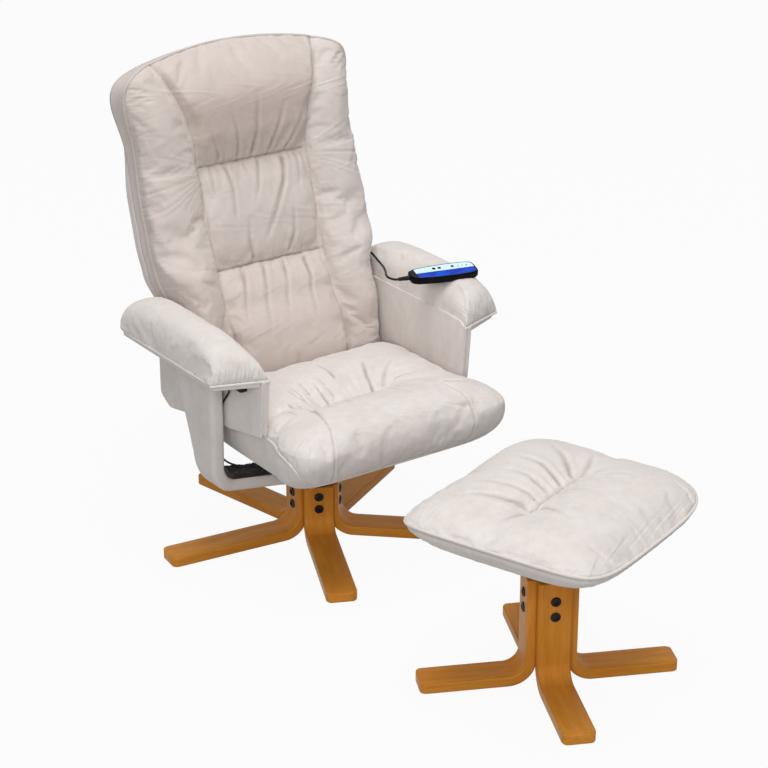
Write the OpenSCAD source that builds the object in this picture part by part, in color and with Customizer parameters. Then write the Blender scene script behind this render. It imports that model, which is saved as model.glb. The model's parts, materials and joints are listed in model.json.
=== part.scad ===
// Swivel reclining massage chair with its footstool, in millimetres.
// The origin is on the floor under the chair's swivel axis. The sitter faces -Y,
// +X is the sitter's left, where the handset lies on the arm.

/* [Star bases] */
// Width of a bentwood leg
leg_w = 66; // [50:1:76]
// Thickness of a bentwood leg
leg_t = 22; // [16:1:26]
// Outside radius of a leg's bend
leg_bend_r = 55; // [45:1:65]
// Corner radius of a leg's tip
leg_tip_r = 14; // [8:1:24]
// Reach of the chair's legs from the swivel axis
leg_reach = 356; // [320:1:400]
// Height of the chair's leg tops
leg_top_z = 125; // [115:1:140]
// Distance from the axis to a flat of the chair's hub
hub_face_r = 33.4; // [31:0.1:40]
// Number of the chair's legs
leg_n = 5; // [5:1:5]
// Turn of the chair's star under the seat, degrees
star_turn = 24.3; // [0:0.1:36]
// Height of the floor glides
glide_h = 4; // [3:0.5:8]
// Radius of a floor glide
glide_r = 12; // [8:1:18]
// Radius of a leg bolt's cap
bolt_cap_r = 10; // [8:0.5:12]
// Radius of a leg bolt's shank
bolt_r = 4; // [3:0.5:5]
// Spacing of the two bolts of a chair leg
bolt_gap = 29; // [24:1:34]

/* [Swivel] */
// Radius of the swivel spindle
spindle_r = 12.5; // [10:0.5:15]
// Running clearance of pins and shafts
run_gap = 0.05; // [0.02:0.01:0.1]
// Wall of the swivel bush
bush_wall = 2.5; // [1.5:0.5:4]
// Height of the thrust bearing on the hub
thrust_h = 14; // [8:1:20]
// Thickness of the swivel plate under the yoke
swivel_plate_t = 7; // [5:1:10]

/* [Yoke] */
// Half width over the two posts
yoke_half_w = 300; // [285:1:310]
// Thickness of the covered yoke
yoke_t = 31; // [26:1:36]
// Outside radius of the yoke's bend
yoke_bend_r = 70.5; // [60:0.5:80]
// Rise angle of the yoke's bottom, degrees
yoke_rise_a = 9.5; // [5:0.5:12]
// Half width of the flat middle of the yoke
yoke_flat = 70; // [66:1:80]
// Depth of a post at its top
post_top_w = 166; // [150:1:180]
// Depth of a post above its bend
post_low_w = 78; // [66:1:90]
// Depth of the yoke across the swivel
yoke_base_w = 102; // [90:1:120]
// Front edge of the posts
post_front_y = -76; // [-84:1:-68]
// Thickness of the steel bar in the yoke
bar_t = 8; // [5:1:10]

/* [Seat] */
// Width that the seat's front roll gains past the arms, each side
seat_front_swell = 21; // [0:1:30]
// Front of the seat cushion's roll
seat_front_y = -371; // [-400:1:-350]
// Rear of the seat cushion at its middle
seat_rear_y = 52; // [30:1:54]
// Height of the seat cushion over its board at the crown
seat_crown_h = 144; // [120:1:160]
// Thickness of the seat board
seat_board_t = 12; // [9:1:18]
// Height of the risers between the yoke and the seat board
riser_h = 74; // [66:1:90]
// Depth of the sewn tuft in the seat
tuft_d = 30; // [10:1:40]

/* [Arms] */
// Width of an arm pad
arm_w = 112; // [100:1:125]
// Thickness of a side panel
panel_t = 16; // [12:1:20]
// Underside of the arm board over the seat board's top
arm_rise = 209; // [190:1:230]
// Thickness of an arm board
arm_board_t = 12; // [9:1:18]
// Height of an arm pad over its board
arm_pad_h = 80; // [60:1:95]
// Front inner corner of an arm
arm_front_y = -215; // [-240:1:-200]
// How far the outer front corner stands back
arm_slant = 40; // [20:1:60]
// Rear end of an arm pad
arm_rear_y = 228; // [215:1:250]

/* [Backrest] */
// Recline of the back board at rest, degrees
back_a = 17.4; // [12:0.1:22]
// Length of the back board's chord
back_l = 735; // [700:1:780]
// Rearward bow of the back board
back_sag = 14; // [6:1:20]
// Thickness of the back board
back_board_t = 12; // [9:1:15]
// Width that the back gains over the arms, each side
back_flare = 23; // [10:1:30]
// Depth of the back cushion at its fullest
back_pad_t = 115; // [100:1:130]
// Depth of the rear cover
rear_cover_t = 30; // [26:1:40]
// Full recline from rest, degrees
recline_range = 35; // [20:1:35]
// Radius of the recline tube
hinge_r = 12; // [10:0.5:14]

/* [Footstool] */
// Footstool post, sideways from the swivel axis
stool_x = 18; // [-40:1:60]
// Footstool post, forward of the swivel axis
stool_y = -795; // [-900:1:-770]
// Turn of the footstool cushion, degrees
stool_turn = 20; // [0:1:45]
// Half width of the footstool cushion
stool_half_w = 233; // [200:1:250]
// Half depth of the footstool cushion
stool_half_d = 217; // [190:1:235]
// Height of the footstool's leg tops
stool_leg_top_z = 232; // [215:1:250]
// Reach of the footstool's legs
stool_reach = 258; // [230:1:280]
// Distance from the post's axis to a flat of its tube
stool_face_r = 29; // [26:1:34]
// Spacing of the two bolts of a footstool leg
stool_bolt_gap = 33; // [28:1:38]
// Height of the footstool cushion over its board
stool_crown_h = 121; // [100:1:135]

/* [Handset] */
// Length of the handset
hs_l = 154; // [130:1:170]
// Width of the handset
hs_w = 56; // [46:1:64]
// Height of the handset's lower shell
hs_base_h = 9; // [8:1:16]
// Height of the handset's upper shell
hs_top_h = 6.5; // [6:0.5:12]
// Radius of a round handset key
key_r = 3.6; // [2.5:0.1:4.5]
// Diameter of the handset's lead
lead_d = 5; // [4:0.5:6]

/* [Hidden] */

// Smoothness and small working values
$fn = 72;
cut = 1;
tiny = 0.01;
seat_gap = 0.3;
bolt_gap_r = 0.3;
arc_n = 14;

// Colours, as the photograph shows them
suede = [0.84, 0.81, 0.77];
amber_wood = [0.78, 0.49, 0.17];
raw_wood = [0.80, 0.68, 0.50];
black = [0.07, 0.07, 0.08];
steel = [0.45, 0.46, 0.48];
plate_white = [0.78, 0.90, 0.96];
panel_blue = [0.06, 0.16, 0.72];

// Star base heights
hub_wall = 5;
hub_low_z = 38;
hub_cap_t = 6;
hub_cap_z = leg_top_z + seat_gap;
hub_top_z = hub_cap_z + hub_cap_t;
bolt_drop = 22;
stool_bolt_drop = 39;
bolt_high_z = leg_top_z - bolt_drop;
stool_bolt_high_z = stool_leg_top_z - stool_bolt_drop;
glide_inset = 26;
cap_t = 3;
bush_r = spindle_r + run_gap + bush_wall;
bush_flange_t = 2;
bush_flange_w = 7;
bush_flange_r = bush_r + bush_flange_w;
housing_wall = 4;
housing_r = bush_r + housing_wall;
thrust_gap = 2;
thrust_w = 21;
thrust_in_r = bush_flange_r + thrust_gap;
thrust_out_r = thrust_in_r + thrust_w;
clip_t = 3;
clip_w = 6;
clip_r = spindle_r + clip_w;

// Yoke
yoke_z = hub_top_z + thrust_h + seat_gap + swivel_plate_t;
yoke_base_back = 65;
yoke_base_y = post_front_y + yoke_base_back;
yoke_foot_x = 80;
yoke_foot_taper = 50;
yoke_arc_x = yoke_half_w - yoke_bend_r;
yoke_arc_z = yoke_z + (yoke_bend_r + (yoke_arc_x - yoke_flat) * sin(yoke_rise_a)) / cos(yoke_rise_a);
bar_inset = 10;
plate_half_x = 66;
plate_half_y = 42;
plate_bolt_x = 50;
plate_bolt_y = 28;
lining_t = 5;
lining_gap = 0.3;

// Widths between the posts
post_gap = 7;
arm_in_x = yoke_half_w - yoke_t - post_gap - panel_t;
arm_out_x = arm_in_x + arm_w;
seat_side_gap = 3;
seat_half_w = arm_in_x - seat_side_gap;
back_side_gap = 5;

// Seat
seat_board_z = yoke_z + yoke_t + riser_h;
seat_z = seat_board_z + seat_board_t;
seat_board_side_in = 53;
seat_board_front_in = 96;
seat_board_rear_in = 8;
seat_board_half_w = seat_half_w - seat_board_side_in;
seat_board_front = seat_front_y + seat_board_front_in;
seat_board_rear = seat_rear_y - seat_board_rear_in;
seat_mid_y = -160;
rail_t = 6;
rail_in = 20;
rail_x = seat_board_half_w - rail_in;
rail_h = 22;
riser_x = 34;
riser_w = 30;
riser_t = 4;

// Recline axis
hinge_y = 165;
hinge_rise = 16;
hinge_z = seat_z + hinge_rise;
crank_l = 60;
crank_t = 6;
crank_w = 18;
crank_a = recline_range / 2;
slot_gap = 0.35;
strut_r = 12;
strut_z = hinge_z - crank_l;
rod_r = 5;
rod_pin_r = 4;
rod_pin_y = hinge_y + crank_l * tan(crank_a);
ear_r = 17;

// Arms
arm_board_z = seat_z + arm_rise;
arm_pad_z = arm_board_z + arm_board_t;
panel_rear_in = 22;
panel_rear_y = arm_rear_y - panel_rear_in;

// Backrest
back_low_w = arm_in_x - back_side_gap;
back_top_w = back_low_w + back_flare;
back_in = 25;
back_rise = 15;
back_y = hinge_y - back_in;
back_z = hinge_z + back_rise;
back_out_r = (back_l * back_l / 4 + back_sag * back_sag) / (2 * back_sag);
back_motor_r = 24;
motor_flange_w = 6;
motor_flange_r = back_motor_r + motor_flange_w;
motor_flange_t = 2;

// Unit grid and outline helpers
function sgn(v) = v < 0 ? -1 : 1;
function lerp(a, b, t) = a + (b - a) * t;
function clamp01(v) = min(max(v, 0), 1);
function ease(v) = let (t = clamp01(v)) t * t * (3 - 2 * t);
function bump(v, w) = exp(-(v * v) / (w * w));
// Rounds the corners of the unit square, with its rings kept parallel
function squircle(p, n) =
    let (s = max(abs(p.x), abs(p.y)))
    s < tiny ? p : p * s / pow(pow(abs(p.x), n) + pow(abs(p.y), n), 1 / n);
function arc(c, r, a0, a1, n = arc_n) =
    [for (i = [0:n]) let (a = lerp(a0, a1, i / n)) [c.x + r * cos(a), c.y + r * sin(a)]];
function flip_x(pts) = [for (i = [len(pts) - 1:-1:0]) [-pts[i].x, pts[i].y]];
function edge_loop(nx, ny) = concat(
    [for (i = [0:nx - 1]) [i, 0]], [for (j = [0:ny - 1]) [nx, j]],
    [for (i = [nx:-1:1]) [i, ny]], [for (j = [ny:-1:1]) [0, j]]);

// A closed upholstered form: a grid of top points, loops down its side and a
// bottom that is a fan or a grid of its own
module pad_form(xs, ys, top, wall, walls, low) {
    nx = len(xs) - 1;
    ny = len(ys) - 1;
    loop = edge_loop(nx, ny);
    n = len(loop);
    count = (nx + 1) * (ny + 1);
    grid = [for (j = [0:ny]) for (i = [0:nx]) top(xs[i], ys[j])];
    sides = [for (k = [1:walls]) for (e = loop) wall(k, xs[e.x], ys[e.y])];
    base = [for (j = [0:ny]) for (i = [0:nx]) low(xs[i], ys[j])];
    // index of corner m of side loop k, where loop 0 is the edge of the top
    // and the last one is the edge of the bottom
    ring = function(k, m) let (e = loop[m % n])
        k == 0 ? e.y * (nx + 1) + e.x :
        k > walls ? count + walls * n + e.y * (nx + 1) + e.x : count + (k - 1) * n + m % n;
    cells = [for (j = [0:ny - 1]) for (i = [0:nx - 1]) j * (nx + 1) + i];
    low_at = count + walls * n;
    polyhedron(concat(grid, sides, base), concat(
        [for (a = cells) [a, a + nx + 1, a + nx + 2]], [for (a = cells) [a, a + nx + 2, a + 1]],
        [for (k = [0:walls]) for (m = [0:n - 1]) [ring(k, m), ring(k, m + 1), ring(k + 1, m + 1)]],
        [for (k = [0:walls]) for (m = [0:n - 1]) [ring(k, m), ring(k + 1, m + 1), ring(k + 1, m)]],
        [for (a = cells) [low_at + a, low_at + a + nx + 2, low_at + a + nx + 1]],
        [for (a = cells) [low_at + a, low_at + a + 1, low_at + a + nx + 2]]));
}

// A round cord along a smooth curve through its route
function route_at(p, i) = p[min(max(i, 0), len(p) - 1)];
function smooth_at(p, i, t) =
    let (a = route_at(p, i - 1), b = route_at(p, i), c = route_at(p, i + 1), d = route_at(p, i + 2))
    (2 * b + (c - a) * t + (2 * a - 5 * b + 4 * c - d) * t * t + (3 * b - a - 3 * c + d) * t * t * t) / 2;
function smooth_route(p, steps) = concat(
    [for (i = [0:len(p) - 2]) for (k = [0:steps - 1]) smooth_at(p, i, k / steps)], [p[len(p) - 1]]);
cord_sides = 8;
cord_side_ref = [0.31, 0.52, 0.29];
module cord(route, d, steps) {
    p = smooth_route(route, steps);
    n = len(p);
    rings = [for (i = [0:n - 1]) let (
        run = p[min(i + 1, n - 1)] - p[max(i - 1, 0)],
        t = run / norm(run),
        u0 = cross(t, cord_side_ref),
        u = u0 / norm(u0),
        v = cross(t, u)) for (k = [0:cord_sides - 1])
        p[i] + d / 2 * (u * cos(360 * k / cord_sides) + v * sin(360 * k / cord_sides))];
    polyhedron(concat(rings, [p[0], p[n - 1]]), concat(
        [for (i = [0:n - 2]) for (k = [0:cord_sides - 1]) let (a = i * cord_sides, b = (k + 1) % cord_sides)
            [a + k, a + cord_sides + b, a + b]],
        [for (i = [0:n - 2]) for (k = [0:cord_sides - 1]) let (a = i * cord_sides, b = (k + 1) % cord_sides)
            [a + k, a + cord_sides + k, a + cord_sides + b]],
        [for (k = [0:cord_sides - 1]) [k, (k + 1) % cord_sides, n * cord_sides]],
        [for (k = [0:cord_sides - 1]) let (a = (n - 1) * cord_sides)
            [a + (k + 1) % cord_sides, a + k, n * cord_sides + 1]]));
}

// A slab drawn in side view, with Y across and Z up, of a width along X
module side_slab(w, x = 0) {
    translate([x, 0, 0]) rotate([90, 0, 90]) linear_extrude(w, center = true) children();
}
// A slab drawn in front view, with X across and Z up, of a depth along Y
module front_slab(d, y = 0) {
    translate([0, y, 0]) rotate([90, 0, 0]) linear_extrude(d, center = true) children();
}

// Star bases
module leg_side(reach, top_z, in_r) {
    c = [in_r + leg_bend_r, glide_h + leg_bend_r];
    polygon(concat(
        [[in_r, top_z], [in_r + leg_t, top_z]],
        arc(c, leg_bend_r - leg_t, 180, 270),
        [[reach, glide_h + leg_t], [reach, glide_h]],
        arc(c, leg_bend_r, 270, 180)));
}
module leg_plan(reach, sides) {
    intersection() {
        polygon(concat(
            [[0, -leg_w / 2]],
            arc([reach - leg_tip_r, -leg_w / 2 + leg_tip_r], leg_tip_r, -90, 0),
            arc([reach - leg_tip_r, leg_w / 2 - leg_tip_r], leg_tip_r, 0, 90),
            [[0, leg_w / 2]]));
        // the mitre that lets neighbouring legs meet round the hub
        translate([seat_gap / sin(180 / sides), 0])
            polygon([[0, 0], [2 * reach, -2 * reach * tan(180 / sides)],
                [2 * reach, 2 * reach * tan(180 / sides)]]);
    }
}
// One leg, pointing along +X from the axis
module leg(reach, top_z, in_r, sides, bolt_z, gap) {
    difference() {
        intersection() {
            front_slab(leg_w) leg_side(reach, top_z, in_r);
            linear_extrude(top_z + cut) leg_plan(reach, sides);
        }
        for (k = [0, 1]) translate([in_r - cut, 0, bolt_z - k * gap]) rotate([0, 90, 0])
            cylinder(h = leg_t + 2 * cut, r = bolt_r + bolt_gap_r);
    }
}
module leg_bolt_pair(in_r, bolt_z, gap) {
    for (k = [0, 1]) translate([in_r - hub_wall, 0, bolt_z - k * gap]) rotate([0, 90, 0]) {
        cylinder(h = leg_t + hub_wall, r = bolt_r);
        translate([0, 0, leg_t + hub_wall]) cylinder(h = cap_t, r1 = bolt_cap_r, r2 = bolt_cap_r - cap_t / 2);
    }
}
module glide(reach) {
    translate([reach - glide_inset, 0, 0]) cylinder(h = glide_h, r1 = glide_r - glide_h / 4, r2 = glide_r);
}
// Turns a child that points along +X to face the direction a, from -Y towards +X
module facing(a) { rotate([0, 0, a - 90]) children(); }
function leg_a(k) = 360 * k / leg_n - star_turn;
function flat_tube(sides, face_r, a0) =
    [for (k = [0:sides - 1]) let (a = a0 - 90 + 360 * (k + 0.5) / sides)
        face_r / cos(180 / sides) * [cos(a), sin(a)]];

module base_leg(k) {
    color(amber_wood) facing(leg_a(k)) leg(leg_reach, leg_top_z, hub_face_r, leg_n, bolt_high_z, bolt_gap);
}
module base_hub() {
    color(black) difference() {
        union() {
            translate([0, 0, hub_low_z]) linear_extrude(hub_cap_z - hub_low_z) difference() {
                polygon(flat_tube(leg_n, hub_face_r, leg_a(0)));
                polygon(flat_tube(leg_n, hub_face_r - hub_wall, leg_a(0)));
            }
            translate([0, 0, hub_low_z]) linear_extrude(hub_wall)
                polygon(flat_tube(leg_n, hub_face_r - tiny, leg_a(0)));
            translate([0, 0, hub_low_z]) cylinder(h = hub_cap_z - hub_low_z, r = housing_r);
            translate([0, 0, hub_cap_z]) cylinder(h = hub_cap_t, r = hub_face_r + leg_t - cap_t);
        }
        translate([0, 0, hub_low_z - cut]) cylinder(h = hub_top_z - hub_low_z + 2 * cut, r = bush_r);
        for (k = [0:leg_n - 1]) for (m = [0, 1]) facing(leg_a(k))
            translate([hub_face_r - hub_wall - cut, 0, bolt_high_z - m * bolt_gap]) rotate([0, 90, 0])
                cylinder(h = hub_wall + 2 * cut, r = bolt_r + run_gap);
    }
}
module base_bolts() {
    color(black) for (k = [0:leg_n - 1]) facing(leg_a(k)) leg_bolt_pair(hub_face_r, bolt_high_z, bolt_gap);
}
module base_glides() { color(black) for (k = [0:leg_n - 1]) facing(leg_a(k)) glide(leg_reach); }

// Swivel
module swivel_bush() {
    color("white") difference() {
        union() {
            translate([0, 0, hub_low_z]) cylinder(h = hub_top_z - hub_low_z, r = bush_r);
            translate([0, 0, hub_top_z]) cylinder(h = bush_flange_t, r = bush_flange_r);
        }
        translate([0, 0, hub_low_z - cut])
            cylinder(h = hub_top_z + bush_flange_t - hub_low_z + 2 * cut, r = spindle_r + run_gap);
    }
}
module thrust_bearing() {
    color(steel) translate([0, 0, hub_top_z]) difference() {
        cylinder(h = thrust_h, r = thrust_out_r);
        translate([0, 0, -cut]) cylinder(h = thrust_h + 2 * cut, r = thrust_in_r);
    }
}
spindle_low_z = hub_low_z - 2 * clip_t - seat_gap;
module swivel_spindle() {
    color(steel) {
        translate([0, 0, spindle_low_z]) difference() {
            cylinder(h = yoke_z - swivel_plate_t - spindle_low_z, r = spindle_r);
            // groove that holds the clip
            translate([0, 0, clip_t]) difference() {
                cylinder(h = clip_t, r = spindle_r + cut);
                translate([0, 0, -cut]) cylinder(h = clip_t + 2 * cut, r = spindle_r - clip_t / 2);
            }
        }
        translate([0, yoke_base_y, yoke_z - swivel_plate_t]) difference() {
            translate([-plate_half_x, -plate_half_y, 0])
                cube([2 * plate_half_x, 2 * plate_half_y, swivel_plate_t]);
            for (x = [-1, 1]) for (y = [-1, 1]) translate([x * plate_bolt_x, y * plate_bolt_y, -cut])
                cylinder(h = swivel_plate_t + 2 * cut, r = bolt_r + bolt_gap_r);
        }
    }
}
module spindle_clip() {
    color(steel) translate([0, 0, spindle_low_z + clip_t]) difference() {
        cylinder(h = clip_t, r = clip_r);
        translate([0, 0, -cut]) cylinder(h = clip_t + 2 * cut, r = spindle_r - clip_t / 2);
    }
}

// Yoke: the covered U that carries the seat and both arms
function yoke_left(d, top) = concat(
    [[-(yoke_half_w - d), top]],
    arc([-yoke_arc_x, yoke_arc_z], yoke_bend_r - d, 180, 270 - yoke_rise_a),
    [[-(yoke_flat - d * tan(yoke_rise_a / 2)), yoke_z + d]]);
module yoke_band(d0, d1, top) {
    outer = yoke_left(d0, top);
    inner = yoke_left(d1, top);
    front_slab(4 * post_top_w) polygon(concat(outer, flip_x(outer), [for (i = [len(inner) - 1:-1:0])
        [-inner[len(inner) - 1 - i].x, inner[len(inner) - 1 - i].y]],
            [for (i = [len(inner) - 1:-1:0]) inner[i]]));
}
// Side view of the posts and the bottom, drawn in by e all round. The foot under
// the seat is as deep as the swivel plate needs, and tapers sideways.
yoke_flare_rise = 7;
yoke_neck_h = 50;
yoke_flare_z = yoke_z + yoke_t + yoke_flare_rise;
yoke_neck_z = yoke_flare_z + yoke_neck_h;
module yoke_side(e, top) {
    front = post_front_y + e;
    low_rear = post_front_y + post_low_w - e;
    base_front = yoke_base_y - yoke_base_w / 2 + e;
    base_rear = yoke_base_y + yoke_base_w / 2 - e;
    side_slab(4 * yoke_half_w) polygon([
        [front, top], [front, yoke_neck_z], [base_front, yoke_flare_z], [base_front, yoke_z - cut],
        [low_rear, yoke_z - cut], [low_rear, yoke_neck_z],
        [post_front_y + post_top_w - e, arm_board_z], [post_front_y + post_top_w - e, top]]);
    translate([0, 0, yoke_z - cut]) linear_extrude(yoke_flare_z - yoke_z + cut) polygon([
        [-yoke_foot_x + e, base_rear], [-yoke_foot_x - yoke_foot_taper + e, low_rear - cut],
        [-yoke_foot_x - yoke_foot_taper + e, base_front + cut],
        [yoke_foot_x + yoke_foot_taper - e, base_front + cut],
        [yoke_foot_x + yoke_foot_taper - e, low_rear - cut], [yoke_foot_x - e, base_rear]]);
}
module yoke_bar_holes() {
    for (x = [-1, 1]) for (y = [-1, 1]) translate([x * plate_bolt_x, yoke_base_y + y * plate_bolt_y,
        yoke_z - cut])
        cylinder(h = yoke_t / 2 + bar_t / 2 + 2 * cut, r = bolt_r + bolt_gap_r);
}
module yoke_bar_solid() {
    intersection() {
        yoke_band((yoke_t - bar_t) / 2, (yoke_t + bar_t) / 2, arm_board_z);
        yoke_side(bar_inset, arm_board_z + cut);
    }
}
module yoke_cover() {
    color(suede) difference() {
        intersection() {
            yoke_band(0, yoke_t, arm_board_z);
            yoke_side(0, arm_board_z + cut);
        }
        intersection() {
            yoke_band((yoke_t - bar_t) / 2, (yoke_t + bar_t) / 2, arm_board_z + cut);
            yoke_side(bar_inset, arm_board_z + 2 * cut);
        }
        yoke_bar_holes();
    }
}
module yoke_bar() {
    color(steel) difference() {
        yoke_bar_solid();
        yoke_bar_holes();
    }
}
module yoke_bolts() {
    head_h = 3;
    head_w = 2.8;
    color(steel) for (x = [-1, 1]) for (y = [-1, 1])
        translate([x * plate_bolt_x, yoke_base_y + y * plate_bolt_y, yoke_z - swivel_plate_t]) {
            cylinder(h = swivel_plate_t + (yoke_t + bar_t) / 2, r = bolt_r);
            translate([0, 0, -head_h]) cylinder(h = head_h, r = bolt_r + head_w);
        }
}
// Black cloth in the trough of the yoke, over the cables
lining_reach_share = 0.93;
module yoke_lining() {
    color(black) for (side = [0, 1]) mirror([side, 0, 0]) intersection() {
        yoke_band(yoke_t + lining_gap, yoke_t + lining_gap + lining_t, arm_board_z);
        yoke_side(cut, arm_board_z);
        translate([-yoke_half_w, -yoke_half_w, yoke_z])
            cube([yoke_half_w - riser_x - riser_w - lining_t, 2 * yoke_half_w, (yoke_arc_z - yoke_z)
                * lining_reach_share]);
    }
}

// Seat frame
module seat_risers() {
    color(steel) for (side = [0, 1]) mirror([side, 0, 0])
        translate([riser_x, yoke_base_y - yoke_base_w / 2, yoke_z + yoke_t]) difference() {
            cube([riser_w, yoke_base_w, riser_h]);
            translate([riser_t, -cut, riser_t])
                cube([riser_w, yoke_base_w + 2 * cut, riser_h - 2 * riser_t]);
        }
}
seat_motor_r = 24;
seat_motor_x = 110;
seat_motor_y = -150;
module seat_board() {
    color(raw_wood) difference() {
        translate([-seat_board_half_w, seat_board_front, seat_board_z])
            cube([2 * seat_board_half_w, seat_board_rear - seat_board_front, seat_board_t]);
        for (x = [-1, 1]) translate([x * seat_motor_x, seat_motor_y, seat_board_z - cut])
            cylinder(h = seat_board_t + 2 * cut, r = seat_motor_r + bolt_gap_r);
    }
}
module seat_motors() {
    flange_t = 3;
    flange_w = 5;
    color(black) for (x = [-1, 1]) translate([x * seat_motor_x, seat_motor_y, 0]) {
        translate([0, 0, seat_board_z - flange_t]) cylinder(h = flange_t, r = seat_motor_r + flange_w);
        translate([0, 0, seat_board_z - flange_t]) cylinder(h = seat_board_t + flange_t, r = seat_motor_r);
        translate([0, 0, seat_board_z - 5 * flange_t]) cylinder(h = 5 * flange_t, r = seat_motor_r
            - flange_w);
    }
}
module seat_rails() {
    rear_y = seat_board_rear + 4 * rail_t;
    ear_front = hinge_y - ear_r;
    color(steel) for (side = [0, 1]) mirror([side, 0, 0]) {
        side_slab(rail_t, rail_x) difference() {
            union() {
                polygon([[seat_board_front + 4 * rail_t, seat_board_z],
                    [seat_board_front + 8 * rail_t, seat_board_z - rail_h],
                    [hinge_y, seat_board_z - rail_h], [hinge_y + ear_r, hinge_z],
                    [ear_front, hinge_z], [ear_front - rail_t, seat_board_z], [rear_y, seat_board_z]]);
                translate([hinge_y, hinge_z]) circle(r = ear_r);
            }
            translate([hinge_y, hinge_z]) circle(r = hinge_r + run_gap);
        }
        // flange screwed up into the seat board
        translate([rail_x - 5 * rail_t, seat_board_front + 4 * rail_t, seat_board_z - rail_t / 2])
            cube([5 * rail_t - rail_t / 2, seat_board_rear - seat_board_front - 4 * rail_t, rail_t / 2]);
    }
}

// Seat cushion: crowned, rolled over its front, with a sewn tuft in the middle.
// In front of the arms it swells out sideways.
seat_xs = [-1, -0.96, -0.9, -0.8, -0.66, -0.5, -0.34, -0.26, -0.16, 0, 0.16, 0.26, 0.34, 0.5, 0.66, 0.8,
    0.9, 0.96, 1];
seat_ys = [-1, -0.95, -0.88, -0.78, -0.64, -0.5, -0.36, -0.24, -0.12, -0.03, 0.06, 0.2, 0.42, 0.64, 0.82,
    0.92, 1];
seat_front_n = 9;
seat_rear_n = 6;
seat_horn = 60;
seat_rear_side_y = seat_rear_y + seat_horn;
seat_edge_h = 94;
seat_rear_lift = 8;
seat_rear_fall = 12;
seat_side_fall = 10;
seat_low_side_share = 0.94;
seat_roll_in = 74;
seat_wall_shares = [[0.5, 0.22, 0.1], [0.94, 0.98, 1]];
seat_swell_shares = [0.27, 0.35];
seat_round_share = 0.10;
tuft_y_share = -0.03;
tuft_half_share = 0.28;
tuft_soft_share = 0.12;
// share of the crown that is left at s of the way from the middle to the edge
function roll(s) = sqrt(max(0, 1 - pow(s, 4)));
function seat_unit(x, y) = squircle([x, y], y < 0 ? seat_front_n : seat_rear_n);
function seat_plan(p, front) =
    let (rear = lerp(seat_rear_y, seat_rear_side_y, pow(abs(p.x), 4)),
        swell = seat_front_swell * ease((-p.y - seat_swell_shares[0]) / seat_swell_shares[1]))
    [(seat_half_w + swell) * p.x, p.y < 0 ? lerp(seat_mid_y, front, -p.y) : lerp(seat_mid_y, rear, p.y)];
function seat_edge(p) = seat_edge_h + seat_rear_lift * ease(p.y);
function tuft_dent(p) =
    let (past = max(0, abs(p.x) - tuft_half_share))
    bump(p.y - tuft_y_share, tuft_soft_share) * bump(past, tuft_soft_share);
function seat_top(x, y) =
    let (p = seat_unit(x, y), s = max(abs(x), abs(y)), e = seat_edge(p),
        c = seat_crown_h - seat_rear_fall * ease(p.y) - seat_side_fall * p.x * p.x,
        side_roll = 1 - seat_round_share * ease((abs(p.x) - 0.5) * 2) * (1 - ease(-p.y)))
    concat(seat_plan(p, seat_front_y), seat_z + e + (c - e) * roll(s) * side_roll - tuft_d * tuft_dent(p));
function seat_wall(k, x, y) =
    let (p = seat_unit(x, y), w = seat_wall_shares[k - 1],
        q = seat_plan([p.x * lerp(1, seat_low_side_share, w[2]), p.y], seat_front_y + seat_roll_in * w[1]))
    [q.x, q.y, seat_z + seat_edge(p) * (1 - w[0])];
function seat_low(x, y) =
    let (p = seat_unit(x, y), q = seat_plan([p.x * seat_low_side_share, p.y], seat_front_y + seat_roll_in))
    [q.x, q.y, seat_z];
module seat_cushion() {
    color(suede) pad_form(seat_xs, seat_ys, function(x, y) seat_top(x, y),
        function(k, x, y) seat_wall(k, x, y), len(seat_wall_shares), function(x, y) seat_low(x, y));
}

// Arms
// A loft through closed sections that all have the same number of points
module loft(rings) {
    n = len(rings[0]);
    last = len(rings) - 1;
    mid = function(r) [for (a = [0:2]) [for (p = r) p[a]] * [for (p = r) 1 / n]];
    polyhedron(concat([for (r = rings) for (p = r) p], [mid(rings[0]), mid(rings[last])]), concat(
        [for (i = [0:last - 1]) for (k = [0:n - 1]) let (b = (k + 1) % n)
            [i * n + k, i * n + n + b, i * n + b]],
        [for (i = [0:last - 1]) for (k = [0:n - 1]) let (b = (k + 1) % n)
            [i * n + k, i * n + n + k, i * n + n + b]],
        [for (k = [0:n - 1]) [k, (k + 1) % n, (last + 1) * n]],
        [for (k = [0:n - 1]) [last * n + (k + 1) % n, last * n + k, (last + 1) * n + 1]]));
}
// Heights of the panel's lower edge over the seat board's top
panel_front_low = 97;
panel_mid_y = -58;
panel_mid_low = 68;
panel_back_y = 91;
panel_back_low = 43;
panel_toe_low = 29;
panel_toe_in = 38;
panel_heel_up = 22;
panel_rake = 14;
module side_panel() {
    color(suede) side_slab(panel_t, arm_in_x + panel_t / 2) polygon([
        [arm_front_y, arm_pad_z], [arm_front_y + panel_rake, seat_z + panel_front_low],
        [panel_mid_y, seat_z + panel_mid_low], [panel_back_y, seat_z + panel_back_low],
        [panel_rear_y - panel_toe_in, seat_z + panel_toe_low],
        [panel_rear_y, seat_z + panel_toe_low + panel_heel_up], [panel_rear_y, arm_pad_z]]);
}
arm_board_in = 8;
module arm_board() {
    color(raw_wood) translate([0, 0, arm_board_z]) linear_extrude(arm_board_t) polygon([
        [arm_in_x + panel_t, arm_front_y + arm_board_in], [arm_in_x + panel_t, arm_rear_y - arm_board_in],
        [arm_out_x - 3 * arm_board_in, arm_rear_y - arm_board_in],
        [arm_out_x - arm_board_in, arm_rear_y - 4 * arm_board_in],
        [arm_out_x - arm_board_in, arm_front_y + arm_slant + arm_board_in]]);
}
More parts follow.
